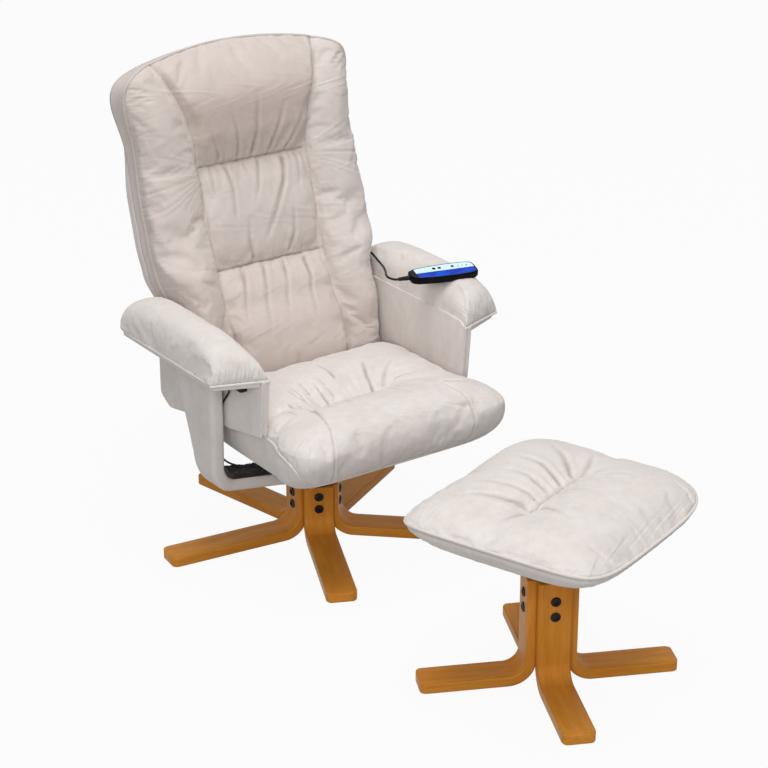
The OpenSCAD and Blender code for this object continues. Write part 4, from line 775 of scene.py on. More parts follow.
def seat_place(u, v, k):
    u, v = edge_dense(u), edge_dense(v)
    px, py = two_corners(u, v, v >= 0, *SEAT_CORNERS)
    s = np.maximum(np.abs(u), np.abs(v))
    t = k / SEAT_RINGS
    rear = SEAT_REAR_Y + (SEAT_REAR_SIDE_Y - SEAT_REAR_Y) * np.abs(px) ** 4
    belly = np.sin(np.pi * np.clip(t, 0, 1))
    front = SEAT_FRONT_Y + SEAT_ROLL_IN * t ** 2.2
    swell = SEAT_SWELL * ease((-py - 0.27) / 0.35) * (1 - 0.8 * t ** 2) * (1 + 0.35 * belly)
    x = (SEAT_HALF_W * (1 - 0.06 * t ** 3.3) + swell) * px
    y = np.where(py < 0, SEAT_MID_Y + (SEAT_MID_Y - front) * py, SEAT_MID_Y + (rear - SEAT_MID_Y) * py)
    edge = SEAT_EDGE_H + 0.008 * ease(py)
    crown = SEAT_CROWN_H - 0.012 * ease(py) - 0.010 * px * px
    side_roll = 1 - 0.10 * ease((np.abs(px) - 0.5) * 2) * (1 - ease(-py))
    top = edge + (crown - edge) * np.sqrt(np.clip(1 - s ** 4, 0, 1)) * side_roll
    middle = (SEAT_TUFT_X[0] + SEAT_TUFT_X[1]) / 2
    past = np.maximum(0, np.abs(x - middle) - (SEAT_TUFT_X[1] - SEAT_TUFT_X[0]) / 2)
    for deep, reach in ((SEAT_TUFT_D, SEAT_TUFT_REACH), (SEAT_HOLLOW, SEAT_HOLLOW_REACH)):
        top = top - deep * hill(y - SEAT_TUFT_Y, reach[0]) * hill(past, reach[1])
    z = SEAT_Z + np.where(k > 0.5, edge * (1 - t), top)
    return np.stack([x, y, z], axis=1)


def seat_piping_points():
    """The piping leaves the top edge ahead of the arms and runs down round the front roll."""
    return rim_points(lambda u, v, k: seat_place(u, v, piping_drop(seat_front_share(u, v)) * SEAT_RINGS))


def make_seat():
    piece = skin_grid("seat_cushion_skin", SEAT_CELLS, SEAT_RINGS, seat_place)
    u, v, k = shares_of(piece)
    below = k / SEAT_RINGS - piping_drop(seat_front_share(u, v))
    x, y = points_of(piece).T[:2]
    held = np.where(on_rim(u, v) & (below > -0.03), 1.0, 0.0)
    tuft = tuft_away(x, y, SEAT_TUFT_X, SEAT_TUFT_Y)
    held = np.maximum(held, (tuft < TUFT_SEWN) & (k < 0.5))
    face_outwards(piece)
    puff(piece, held, SEAT_CAP)
    refine(piece)
    x, y = points_of(piece).T[:2]
    u, v, k = shares_of(piece)
    py = seat_front_share(u, v)
    below = k / SEAT_RINGS - piping_drop(py)
    top = np.where(py < -0.2, ease(-below * 9), np.clip(1 - k, 0, 1))
    depth = tuft_folds(x, y, SEAT_TUFT_X, SEAT_TUFT_Y, seed=1.7) * np.clip(1 - k, 0, 1)
    for points, width, deep, tail in SEAT_FOLDS:
        depth += crease(x, y, points, width, deep, tail) * np.clip(1 - k * 0.4, 0, 1)
    for points in SEAT_SEAMS:
        depth += seam_line(x, y, points) * top
    # gathers over the piping, dense at the front corners
    off = np.abs(below) * SEAT_EDGE_H
    along = round_rim(u, v, x, y)
    on_roll = ease((-py - 0.15) / 0.3)
    front = gathers(along, off, pitch=0.009, reach=0.040, depth=0.0032, seed=4.1)
    depth += front * top * on_roll * (k > 0.2)
    from_edge = rim_share(u, v) * SEAT_EDGE_REACH
    rear = gathers(along, from_edge, pitch=0.012, reach=0.024, depth=0.0016, seed=4.1)
    depth += rear * np.clip(1 - k, 0, 1) * (1 - on_roll)
    on_wall = np.where(k > 0.5, np.maximum(below, -1) * SEAT_EDGE_H, 1)
    depth += seam_groove(on_wall, width=0.0030) * on_roll
    depth += rumple(x, y, 0.0013, across=(34, 5, 21), along=(39, 3), seeds=(2, 1))
    press(piece, depth * np.where((k > 0.9) & (below > 0.02), 0.3, 1.0))
    finish_pad(piece, "chair_frame", "seat_cushion")
    piping("seat_piping", seat_piping_points(), "chair_frame")


def tuft_away(x, y, ends, line_y):
    """Distance from a straight tuft line."""
    past = np.maximum(0, np.maximum(ends[0] - x, x - ends[1]))
    return np.hypot(past, y - line_y)


TUFT_SEWN = 0.006


def tuft_folds(x, y, ends, line_y, seed, reach=0.085, depth=0.0042):
    """The stitched line of a tuft, with folds that fan from it."""
    middle = (ends[0] + ends[1]) / 2
    away = tuft_away(x, y, ends, line_y)
    spread = (x - middle) / (1 + away * 9)
    side = 0.05 * np.sign(y - line_y)
    folds = gathers(spread + side, away, 0.017, reach, depth, seed) * ease(away / 0.010)
    folds += gathers(spread * 1.3, away, 0.010, reach * 0.45, depth * 0.4, seed + 4) * ease(away / 0.006)
    return folds + seam_groove(away, width=0.0030, depth=0.0050)


SEAT_SEAMS = [
    [(-0.110, -0.196), (-0.150, -0.231), (-0.174, -0.328), (-0.192, -0.371), (-0.196, -0.420)],
    [(0.078, -0.196), (0.128, -0.240), (0.152, -0.330), (0.157, -0.367), (0.172, -0.420)]]
# Named folds of the seat, as the photo shows them: points, width, depth, tail
SEAT_FOLDS = [
    ([(-0.113, -0.200), (-0.125, -0.160), (-0.142, -0.115)], 0.0038, 0.0050, 0.5),
    ([(-0.121, -0.158), (-0.126, -0.100)], 0.0034, 0.0040, 0.5),
    ([(-0.072, -0.180), (-0.077, -0.110)], 0.0036, 0.0050, 0.5),
    ([(-0.023, -0.120), (-0.020, -0.040)], 0.0038, 0.0048, 0.5),
    ([(0.038, -0.176), (0.050, -0.130), (0.070, -0.085)], 0.0048, 0.0056, 0.4),
    ([(0.036, -0.184), (0.058, -0.200)], 0.0036, 0.0050, 0.5),
    ([(0.090, -0.170), (0.140, -0.182)], 0.0038, 0.0042, 0.6),
    ([(0.060, -0.170), (0.100, -0.130), (0.150, -0.095)], 0.0050, 0.0036, 0.8),
    ([(-0.168, -0.160), (-0.160, -0.205), (-0.150, -0.250)], 0.0036, 0.0044, 0.5),
    ([(-0.150, -0.175), (-0.142, -0.215)], 0.0034, 0.0038, 0.5),
    ([(-0.100, -0.140), (-0.104, -0.085)], 0.0034, 0.0034, 0.6),
    ([(-0.050, -0.160), (-0.056, -0.100)], 0.0034, 0.0032, 0.6),
    ([(-0.190, -0.190), (-0.184, -0.235)], 0.0036, 0.0030, 0.6),
    ([(-0.050, -0.190), (-0.070, -0.230), (-0.085, -0.290)], 0.0070, 0.0032, 0.9),
    ([(0.020, -0.190), (0.040, -0.235), (0.062, -0.310)], 0.0070, 0.0032, 0.9),
    ([(-0.154, -0.222), (-0.160, -0.262), (-0.168, -0.310)], 0.0050, 0.0040, 0.8),
    ([(0.150, -0.270), (0.190, -0.285), (0.235, -0.275)], 0.0060, 0.0036, 0.8)]


def seam_line(x, y, points, width=0.0022, depth=0.0024):
    """A sewn line through plan points, at full depth all along."""
    off = np.full_like(x, 1e3)
    for (ax, ay), (bx, by) in zip(points, points[1:]):
        t = np.clip(((x - ax) * (bx - ax) + (y - ay) * (by - ay)) / ((bx - ax) ** 2 + (by - ay) ** 2), 0, 1)
        off = np.minimum(off, np.hypot(x - ax - t * (bx - ax), y - ay - t * (by - ay)))
    return seam_groove(off, width, depth)


make_seat()


# Footstool cushion
STOOL_HALF = (0.2365, 0.2200)
STOOL_TURN = math.radians(20)
STOOL_RINGS = 12
STOOL_Z = STOOL_LOW[2]
STOOL_CROWN_H = STOOL_HIGH[2] - STOOL_LOW[2]
STOOL_TUFT_D = 0.020
STOOL_TUFT_X = (-0.076, 0.094)
STOOL_TUFT_REACH = (0.12, 0.030)
STOOL_HOLLOW = 0.010
STOOL_HOLLOW_REACH = (0.36, 0.085)
STOOL_CORNERS = 5.4
STOOL_EDGE_H = 0.053
STOOL_TIP_RISE = 0.022
STOOL_FOOT_SHARE = 0.66
STOOL_WALL_H = 0.060
STOOL_EDGE_REACH = 0.21
STOOL_CELLS = (88, 84)
STOOL_CAP = 0.008
STOOL_PIPING_R = 0.0034
STOOL_PIPING_OUT = 1.006
# Named folds of the footstool, as the photo shows them
STOOL_FOLDS = [
    ([(-0.070, 0.006), (-0.095, 0.050), (-0.130, 0.130)], 0.0075, 0.0048, 0.8),
    ([(-0.040, 0.006), (-0.052, 0.060), (-0.070, 0.150)], 0.0070, 0.0040, 0.9),
    ([(0.000, 0.006), (0.004, 0.060), (0.000, 0.140)], 0.0070, 0.0036, 0.9),
    ([(0.040, 0.006), (0.060, 0.060), (0.075, 0.150)], 0.0070, 0.0044, 0.9),
    ([(0.085, 0.006), (0.120, 0.045), (0.170, 0.110)], 0.0075, 0.0050, 0.8),
    ([(0.094, 0.000), (0.140, 0.005), (0.205, 0.030)], 0.0065, 0.0044, 0.8),
    ([(-0.076, 0.000), (-0.120, 0.004), (-0.190, 0.020)], 0.0065, 0.0040, 0.8),
    ([(-0.060, -0.006), (-0.085, -0.050), (-0.110, -0.120)], 0.0070, 0.0032, 0.9),
    ([(0.070, -0.006), (0.100, -0.050), (0.140, -0.120)], 0.0070, 0.0034, 0.9),
    ([(0.010, -0.006), (0.012, -0.050), (0.020, -0.100)], 0.0065, 0.0026, 1.0)]


def stool_own(u, v, k):
    """The footstool cushion in its own axes: across, along and up from its board."""
    u, v = edge_dense(u), edge_dense(v)
    px, py = squircle(u, v, STOOL_CORNERS)
    s = np.maximum(np.abs(u), np.abs(v))
    t = k / STOOL_RINGS
    edge = STOOL_EDGE_H + STOOL_TIP_RISE * np.abs(px) ** 2.5 * (1 - 0.5 * np.abs(py) ** 6)
    top = edge + (STOOL_CROWN_H - edge) * np.clip(1 - s ** 2.6, 0, 1) ** 0.62
    past = tuft_away(STOOL_HALF[0] * px, 0, STOOL_TUFT_X, 0)
    for deep, reach in ((STOOL_TUFT_D, STOOL_TUFT_REACH), (STOOL_HOLLOW, STOOL_HOLLOW_REACH)):
        top = top - deep * hill(py, reach[0]) * hill(past, reach[1])
    share = 1 - (1 - STOOL_FOOT_SHARE) * np.clip(t, 0, 1) ** 1.9
    return STOOL_HALF[0] * px * share, STOOL_HALF[1] * py * share, np.where(k > 0.5, edge * (1 - t), top)


def stool_place(u, v, k):
    x, y, z = stool_own(u, v, k)
    c, s = math.cos(STOOL_TURN), math.sin(STOOL_TURN)
    return np.stack([STOOL_AXIS[0] + c * x - s * y, STOOL_AXIS[1] + s * x + c * y, STOOL_Z + z], axis=1)


def make_stool_cushion():
    piece = skin_grid("stool_cushion_skin", STOOL_CELLS, STOOL_RINGS, stool_place)
    u, v, k = shares_of(piece)
    x, y = stool_own(u, v, k)[:2]
    held = np.where((k > 0.5) | on_rim(u, v), 1.0, 0.0)
    held = np.maximum(held, (tuft_away(x, y, STOOL_TUFT_X, 0) < TUFT_SEWN) & (k < 0.5))
    face_outwards(piece)
    puff(piece, held, STOOL_CAP)
    refine(piece)
    u, v, k = shares_of(piece)
    x, y = stool_own(u, v, k)[:2]
    top = np.clip(1 - k, 0, 1)
    depth = tuft_folds(x, y, STOOL_TUFT_X, 0, seed=3.3) * top
    for points, width, deep, tail in STOOL_FOLDS:
        depth += crease(x, y, points, width, deep, tail) * top
    along = round_rim(u, v, x, y)
    from_edge = rim_share(u, v) * STOOL_EDGE_REACH
    depth += gathers(along, from_edge, pitch=0.014, reach=0.026, depth=0.0016, seed=8.2) * top
    depth += rumple(x, y, 0.0012, across=(31, 4, 23), along=(35, 2), seeds=(5, 4))
    below = (k - 0.9) * STOOL_WALL_H / STOOL_RINGS
    depth += seam_groove(below, width=0.0040, depth=0.0036) * (k > 0.5)
    depth += gathers(along, below, pitch=0.016, reach=0.030, depth=0.0016, seed=6.2) * (k > 0.9)
    press(piece, depth)
    finish_pad(piece, "stool", "stool_cushion")
    rim = rim_points(lambda u, v, k: stool_place(u * STOOL_PIPING_OUT, v * STOOL_PIPING_OUT, k))
    piping("stool_piping", rim, "stool", radius=STOOL_PIPING_R)


make_stool_cushion()


# Back cushion. b runs up the back board's chord, c rearward from its front face.
BACK_A = math.radians(17.4)
BACK_L = 0.735
BACK_SAG = 0.014
BACK_R = (BACK_L ** 2 / 4 + BACK_SAG ** 2) / (2 * BACK_SAG)
BACK_Y = HINGE[1] - 0.025
BACK_Z = HINGE[2] + 0.015
BACK_FORM_L = BACK_L + 0.026
BACK_TOP_W = 0.264
BACK_EDGE_T = 0.036
BACK_ROUND_N = 16
# Tables up the board: half width, then depth of the middle and of the wings
BACK_HALF_ROWS = [(0, .241), (.213, .241), (.300, .261), (.350, .264), (.450, .264), (.556, .259),
                  (.720, .268), (.761, .268)]
BACK_SEAM_X = 0.137
BACK_FOOT_N = 14
BACK_MID_ROWS = [(0, .080), (.022, .092), (.074, .115), (.130, .112), (.205, .088), (.278, .072),
                 (.335, .080), (.390, .084), (.445, .081), (.503, .076), (.570, .105), (.640, .115),
                 (.700, .101), (.761, .070)]
BACK_WING_ROWS = [(0, .066), (.060, .076), (.150, .088), (.260, .090), (.400, .084), (.500, .086),
                  (.600, .090), (.700, .080), (.761, .060)]
BACK_LOW_SEAM = 0.278
BACK_HIGH_SEAM = 0.503
BACK_RINGS = 5
BACK_SIDE_SHARE = 0.74
BACK_SIDE_P = 3.4
# How much fuller the wings are than the middle, and how much they bulge sideways
BACK_SWELL_ROWS = [(0, .007), (.038, .013), (.091, .025), (.170, .040), (.270, .038), (.340, .018),
                   (.500, .010), (.650, .014), (.761, .010)]
BACK_SWELL_REACH = 0.075
BACK_BULGE_ROWS = [(0, 0), (.251, 0), (.350, .008), (.548, .010), (.650, .014), (.700, .013), (.761, .003)]
BACK_HEAD_B = 0.643
BACK_SEAM_DENT = 0.007
BACK_SEAM_REACH = 0.012
BACK_SEWN = 0.0026
BACK_FLOOR = 0.0003
BACK_TUCK = 0.015
BACK_TOP_BOW = 0.023
BACK_CELLS = (108, 156)
BACK_CAP = 0.010


def back_pt(b, c):
    """Side view of the bowed board: Y and Z of a point."""
    d = c + BACK_SAG - BACK_R + np.sqrt(BACK_R ** 2 - (b - BACK_L / 2) ** 2)
    return (BACK_Y + b * math.sin(BACK_A) + d * math.cos(BACK_A),
            BACK_Z + b * math.cos(BACK_A) - d * math.sin(BACK_A))


def back_half(b):
    return rows_at(BACK_HALF_ROWS, b)


def back_top_b(x):
    return BACK_FORM_L - BACK_TOP_BOW * (x / 0.190) ** 2


def back_uv(u, v):
    """Where a unit point lies: across, up the board, and as a share of the half width."""
    u, v = edge_dense(u), edge_dense(v, 0.5)
    px, py = two_corners(u, v, v > 0, BACK_FOOT_N, BACK_ROUND_N)
    b = (py + 1) / 2 * back_top_b(px * BACK_TOP_W)
    return px * back_half(b), b, px


def back_seam_x(b):
    return BACK_SEAM_X + 0.065 * np.clip((b - BACK_HIGH_SEAM) / 0.233, 0, 1) ** 1.6


def back_side(share):
    t = np.clip((np.abs(share) - BACK_SIDE_SHARE) / (1 - BACK_SIDE_SHARE), 0, 1)
    return (1 - t ** BACK_SIDE_P) ** (1 / BACK_SIDE_P)


def back_depth(x, b, share):
    off = np.abs(x) - back_seam_x(b)
    side = back_side(share)
    head = np.sqrt(1 - np.clip((b - BACK_HEAD_B) / (BACK_FORM_L - BACK_HEAD_B), 0, 1) ** 2.4)
    fill = rows_at(BACK_MID_ROWS, b)
    wing = rows_at(BACK_WING_ROWS, b) + rows_at(BACK_SWELL_ROWS, b) * ease(off / BACK_SWELL_REACH)
    fill = fill + (wing - fill) * ease(off / 0.030 + 0.5)
    cross = hill(b - BACK_LOW_SEAM, BACK_SEAM_REACH) + hill(b - BACK_HIGH_SEAM, BACK_SEAM_REACH)
    dents = hill(off, BACK_SEAM_REACH) + ease(-off / BACK_SEAM_REACH) * cross
    return BACK_EDGE_T + (fill - BACK_EDGE_T) * side * head - BACK_SEAM_DENT * np.minimum(dents, 1) * side


def back_place(u, v, k):
    x, b, share = back_uv(u, v)
    t = k / BACK_RINGS
    depth = back_depth(x, b, share) * (1 - t) + BACK_FLOOR * t
    y, z = back_pt(b, -depth)
    side = back_side(share)
    x = x + np.sign(x) * rows_at(BACK_BULGE_ROWS, b) * 4 * side * (1 - side)
    return np.stack([x * (1 - BACK_TUCK * np.sin(np.pi * np.clip(t, 0, 1))), y, z], axis=1)


# Named folds of the back's middle panels, as the photo shows them: points across and up, width, depth, tail
BACK_FOLDS = [
    ([(0.075, .500), (0.060, .440), (0.020, .370), (-0.010, .320)], 0.00558, 0.00510, 0.6),
    ([(-0.070, .500), (-0.066, .440), (-0.075, .360)], 0.00496, 0.00425, 0.8),
    ([(0.015, .500), (0.000, .450), (-0.020, .400)], 0.00465, 0.00391, 0.8),
    ([(-0.105, .500), (-0.110, .450), (-0.100, .400)], 0.00434, 0.00340, 0.9),
    ([(0.110, .500), (0.104, .450), (0.090, .400)], 0.00434, 0.00340, 0.9),
    ([(-0.040, .282), (-0.048, .330), (-0.040, .390)], 0.00496, 0.00391, 0.8),
    ([(0.050, .282), (0.066, .330), (0.074, .400)], 0.00496, 0.00391, 0.8),
    ([(0.000, .506), (0.004, .560), (0.012, .650)], 0.00527, 0.00442, 0.8),
    ([(-0.035, .506), (-0.044, .560), (-0.060, .630)], 0.00496, 0.00408, 0.8),
    ([(0.040, .506), (0.055, .555), (0.080, .620)], 0.00496, 0.00408, 0.8),
    ([(-0.080, .506), (-0.096, .545), (-0.120, .600)], 0.00465, 0.00357, 0.9),
    ([(0.085, .506), (0.104, .545), (0.130, .600)], 0.00465, 0.00357, 0.9),
    ([(-0.070, .274), (-0.085, .220), (-0.110, .140)], 0.00527, 0.00391, 0.8),
    ([(-0.020, .274), (-0.035, .215), (-0.060, .120)], 0.00558, 0.00391, 0.8),
    ([(0.030, .274), (0.020, .220), (-0.010, .130)], 0.00527, 0.00340, 0.8),
    ([(0.085, .274), (0.080, .220), (0.060, .130)], 0.00527, 0.00391, 0.8)]


def make_back():
    piece = skin_grid("back_cushion_skin", BACK_CELLS, BACK_RINGS, back_place)
    u, v, k = shares_of(piece)
    x, b, share = back_uv(u, v)
    off = np.abs(x) - back_seam_x(b)
    across = (np.abs(b - BACK_LOW_SEAM) < BACK_SEWN) | (np.abs(b - BACK_HIGH_SEAM) < BACK_SEWN)
    seam = (np.abs(off) < BACK_SEWN) | ((off < 0) & across)
    held = np.where((k > 0.5) | on_rim(u, v) | seam, 1.0, 0.0)
    face_outwards(piece)
    puff(piece, held, BACK_CAP)
    refine(piece)
    u, v, k = shares_of(piece)
    x, b, share = back_uv(u, v)
    top = np.clip(1 - k, 0, 1)
    off = np.abs(x) - back_seam_x(b)
    inside = ease(-off / 0.010)
    depth = seam_groove(off) * ease((b - 0.02) / 0.04)
    for seam_b, up, down in ((BACK_LOW_SEAM, 0.060, 0.100), (BACK_HIGH_SEAM, 0.105, 0.085)):
        over = b - seam_b
        depth += inside * seam_groove(over, width=0.0026, depth=0.0040)
        for reach, side in ((up, 1), (down, -1)):
            on = inside * ease(over * side / 0.005)
            seed = 40 * seam_b + side
            depth += on * gathers(x + 0.10 * over, np.abs(over), 0.022, reach, 0.0030, seed)
            depth += on * gathers(x - 0.06 * over, np.abs(over), 0.0095, reach * 0.5, 0.0022, seed + 4)
    for points, width, deep, tail in BACK_FOLDS:
        depth += inside * crease(x, b, points, width, deep, tail)
    # wings: fine gathers over the piping, and folds that fan from the high seam's ends
    edge = (1 - np.abs(share)) * BACK_TOP_W
    rim = gathers(b, edge, pitch=0.0085, reach=0.024, depth=0.0020, seed=3.0)
    depth += rim * ease((0.70 - b) / 0.05)
    wing = ease(off / 0.008)
    across = gathers(b + 0.25 * off, off, pitch=0.014, reach=0.060, depth=0.0022, seed=8.0)
    depth += wing * across * hill(b - 0.40, 0.20)
    turn = np.arctan2(b - BACK_HIGH_SEAM + 0.01, np.abs(x) - 0.105) * 0.100
    away = np.abs(b - BACK_HIGH_SEAM + 0.03) * 0.8
    depth += wing * gathers(turn, away, pitch=0.012, reach=0.080, depth=0.0032, seed=5.0)
    depth += rumple(x, b, 0.0013, across=(31, 4, 17), along=(29, 3), seeds=(3, 6))
    press(piece, depth * top)
    # Shares of the brown tone, partly rubbed nap and partly painted shade: all over, the head, the middle, the
    # sitter's left wing, the foot and the side wall
    worn_and_shade = 0.40 + 0.36 * inside * hill(b - 0.600, 0.085) - 0.10 * inside * hill(b - 0.40, 0.08)
    worn_and_shade = worn_and_shade - 0.16 * ease(x / 0.2) * (off > 0) + 0.16 * ease((0.24 - b) / 0.1) + 0.05 * np.clip(k, 0, 1)
    paint_worn_and_shade(piece, worn_and_shade)
    finish_pad(piece, "backrest", "back_cushion")
    rim = rim_points(back_place, sides=(1, 2, 3), n=150)
    # The back's piping takes the darker suede copy, as painted shade.
    piping("back_piping", rim, "backrest", closed=False, cloth="shade_painted_suede")


make_back()


# Arm pads
ARM_IN_X = PAD_LOW[0]
ARM_OUT_X = PAD_HIGH[0]
ARM_FRONT_Y = PAD_LOW[1]
ARM_REAR_Y = PAD_HIGH[1]
ARM_PAD_Z = PAD_LOW[2]
ARM_PAD_H = PAD_HIGH[2] - PAD_LOW[2]
ARM_SLANT = 0.040
ARM_SLANT_REACH = 0.160
ARM_CELLS = (84, 110)
ARM_CAP = 0.005
# Section of the pad: share of its width, share of its height
PAD_SECTION = [(0, 0), (0, .30), (.02, .52), (.09, .74), (.22, .90), (.40, .985), (.58, 1), (.74, .95),
               (.88, .78), (.965, .52), (1, .22), (1, .06), (.97, 0)]
PAD_FLATNESS = 1.4
# How the pad rises from its front and rear, and narrows to its rear, by lengths of PAD_NOSE
PAD_NOSE = 0.080
PAD_FRONT = [(0, .10), (.03, .33), (.09, .50), (.25, .67), (.5, .80), (.95, .91), (1.5, .975), (2.2, 1)]
PAD_REAR = [(0, .08), (.06, .28), (.2, .50), (.45, .70), (.85, .87), (1.35, .96), (2, 1)]
PAD_REAR_W = [(0, .78), (.06, .84), (.2, .92), (.45, .97), (.85, 1), (2, 1)]


# The seams that run down the front edge of a side panel and back under it: Y and Z, inside and outside
PANEL_SEAM_IN = [(-.075, SEAT_Z + .072), (-.130, SEAT_Z + .083), (-.190, SEAT_Z + .094), (-.2005, SEAT_Z + .101),
                 (-.207, SEAT_Z + .150), (-.2125, ARM_PAD_Z - .016), (-.2135, ARM_PAD_Z - .006)]
PANEL_SEAM_OUT = [(-.2125, ARM_PAD_Z - .013), (-.207, SEAT_Z + .150), (-.2015, SEAT_Z + .101),
                  (-.196, SEAT_Z + .095), (-.130, SEAT_Z + .083), (-.075, SEAT_Z + .072)]


def arm_place(u, v, k):
    fine = fine_table(PAD_SECTION)
    steps = [math.hypot((b[0] - a[0]) * PAD_FLATNESS, b[1] - a[1]) for a, b in zip(fine, fine[1:])]
    runs = np.cumsum([0] + steps)
    at = (u + 1) / 2 * runs[-1]
    sx = np.interp(at, runs, [p[0] for p in fine])
    sz = np.interp(at, runs, [p[1] for p in fine])
    y0 = ARM_FRONT_Y + (ARM_REAR_Y - ARM_FRONT_Y) * (edge_dense(v, 0.75) + 1) / 2
    front = (y0 - ARM_FRONT_Y) / PAD_NOSE
    rear = (ARM_REAR_Y - y0) / PAD_NOSE
    tall = np.minimum(smooth_table(PAD_FRONT, front), smooth_table(PAD_REAR, rear))
    wide = smooth_table(PAD_REAR_W, rear)
    x = ARM_IN_X + sx * wide * (ARM_OUT_X - ARM_IN_X)
    y = y0 + ARM_SLANT * sx * np.clip(1 - (y0 - ARM_FRONT_Y) / ARM_SLANT_REACH, 0, 1)
    z = ARM_PAD_Z + sz * tall * ARM_PAD_H
    sunk = k > 0.5
    middle = (ARM_IN_X + ARM_OUT_X) / 2
    x = np.where(sunk, middle + (x - middle) * 0.97, x)
    y = np.where(sunk, y * 0.985, y)
    return np.stack([x, y, np.where(sunk, ARM_PAD_Z, z)], axis=1)


def make_arms():
    piece = skin_grid("arm_pad_left_skin", ARM_CELLS, 1, arm_place)
    u, v, k = shares_of(piece)
    held = np.where((k > 0.5) | on_rim(u, v), 1.0, 0.0)
    face_outwards(piece)
    puff(piece, held, ARM_CAP, growth=0.02)
    refine(piece)
    u, v, k = shares_of(piece)
    x, y, z = points_of(piece).T
    top = np.clip(1 - k, 0, 1)
    slant = ARM_SLANT * (x - ARM_IN_X) / (ARM_OUT_X - ARM_IN_X)
    from_front = np.hypot(y - ARM_FRONT_Y - slant, z - ARM_PAD_Z)
    front = gathers(x + 0.2 * z, from_front, pitch=0.0085, reach=0.056, depth=0.0056, seed=2.0)
    front += gathers(x + 0.1 * z, from_front, pitch=0.0060, reach=0.034, depth=0.0030, seed=5.0)
    depth = front * ease(from_front / 0.002)
    depth += gathers(y, (1 - u) * 0.14, pitch=0.014, reach=0.020, depth=0.0018, seed=6.0)
    depth += gathers(x, (1 - v) * 0.20, pitch=0.012, reach=0.030, depth=0.0020, seed=9.0)
    depth += rumple(x, y, 0.0009, across=(45, 3, 20), along=(27, 3), seeds=(2, 8))
    press(piece, depth * top)
    twin = piece.copy()
    twin.data = piece.data.copy()
    twin.name = "arm_pad_right_skin"
    link(twin)
    put_points(twin, points_of(twin) * (-1, 1, 1))
    face_outwards(twin)
    rim = rim_points(arm_place, n=70, sides=(0, 1, 2))
    for pad, side, flip in ((piece, "left", 1), (twin, "right", -1)):
        finish_pad(pad, "chair_frame", "arm_pad_" + side)
        low = [(p[0] * flip, p[1], ARM_PAD_Z - 0.0005) for p in rim]
        up = [(flip * (ARM_IN_X + 0.0020), a, b) for a, b in PANEL_SEAM_IN]
        corner = (flip * (ARM_IN_X + 0.006), -.2145, ARM_PAD_Z - 0.0010)
        piping(f"arm_piping_{side}", smooth_route(up + [corner], 5) + low[4:], "chair_frame", closed=False)


make_arms()


# Tools for the hard and covered pieces
def sleeve(bm, cells, place):
    """A closed skin round a section and along a run, both from 0 to 1, with its two ends filled.

    place(u, v) gives the points, and where the points lie in the grain of the material.
    """
    grain = bm.verts.layers.float_vector.get("grain") or bm.verts.layers.float_vector.new("grain")
    made = bmesh.ops.create_grid(bm, x_segments=cells[0], y_segments=cells[1], size=0.5)["verts"]
    u = np.array([vert.co.x + 0.5 for vert in made])
    v = np.array([vert.co.y + 0.5 for vert in made])
    points, figure = place(u, v)
    for vert, point, spot in zip(made, points, figure):
        vert.co = point
        vert[grain] = spot
    bmesh.ops.remove_doubles(bm, verts=made, dist=MERGE_DIST)
    bmesh.ops.holes_fill(bm, edges=[edge for edge in bm.edges if edge.is_boundary], sides=0)


def at_steps(v, values):
    """Reads a list at shares of its length."""
    return np.interp(v * (len(values) - 1), np.arange(len(values)), values)


def round_bar(half, thick, corner, steps=(5, 3)):
    """Loop round a bar's section: across from -half to half, and through its thickness from 0."""
    flat, turn = steps
    across = list(np.linspace(-half + corner, half - corner, flat + 1))
    through = list(np.linspace(corner, thick - corner, flat + 1))
    bend = [math.pi / 2 * i / turn for i in range(1, turn)]
    near, far, edge = corner, thick - corner, half - corner
    loop = [(a, 0) for a in across]
    loop += [(edge + corner * math.sin(t), near - corner * math.cos(t)) for t in bend]
    loop += [(half, b) for b in through]
    loop += [(edge + corner * math.cos(t), far + corner * math.sin(t)) for t in bend]
    loop += [(a, thick) for a in reversed(across)]
    loop += [(-edge - corner * math.sin(t), far + corner * math.cos(t)) for t in bend]
    loop += [(-half, b) for b in reversed(through)]
    loop += [(-edge - corner * math.cos(t), near - corner * math.sin(t)) for t in bend]
    return loop + loop[:1]


def turned(points, angle, centre):
    """Turns points that look along +X to face an angle counted from -Y towards +X."""
    c, s = math.cos(angle - math.pi / 2), math.sin(angle - math.pi / 2)
    x, y, z = np.asarray(points).T
    return np.stack([centre[0] + c * x - s * y, centre[1] + s * x + c * y, centre[2] + z], axis=1)


# Bentwood legs
LEG_W = 0.066
LEG_T = 0.022
LEG_BEND_R = 0.055
LEG_TIP_R = 0.014
LEG_TIP_SHARES = (1, 0.8, 0.62, 0.46, 0.32, 0.2, 0.11, 0.05, 0.015, 0)
LEG_EDGE_R = 0.0026
LEG_SHARP = 50
LEG_GAP = 0.0003
GLIDE_H = 0.004
CHAIR_STAR = {"sides": 5, "in_r": 0.0334, "reach": 0.356, "top_z": 0.125, "bolts": (0.103, 0.074)}
STOOL_STAR = {"sides": 4, "in_r": 0.029, "reach": 0.258, "top_z": 0.232, "bolts": (0.193, 0.160)}
CHAIR_TURNS = [math.radians(72 * k - 24.3) for k in range(5)]
STOOL_TURNS = [STOOL_TURN + math.radians(90 * k - 45) for k in range(4)]


def leg_point(star, s, d):
    """Side view of a leg: s runs down and out along its outer bend, d into its thickness."""
    rise = star["top_z"] - GLIDE_H - LEG_BEND_R
    arc = LEG_BEND_R * math.pi / 2
    turn = np.clip((s - rise) / LEG_BEND_R, 0, math.pi / 2)
    x = star["in_r"] + LEG_BEND_R - (LEG_BEND_R - d) * np.cos(turn) + np.maximum(0, s - rise - arc)
    z = GLIDE_H + LEG_BEND_R - (LEG_BEND_R - d) * np.sin(turn) + np.maximum(0, rise - s)
    return x, z


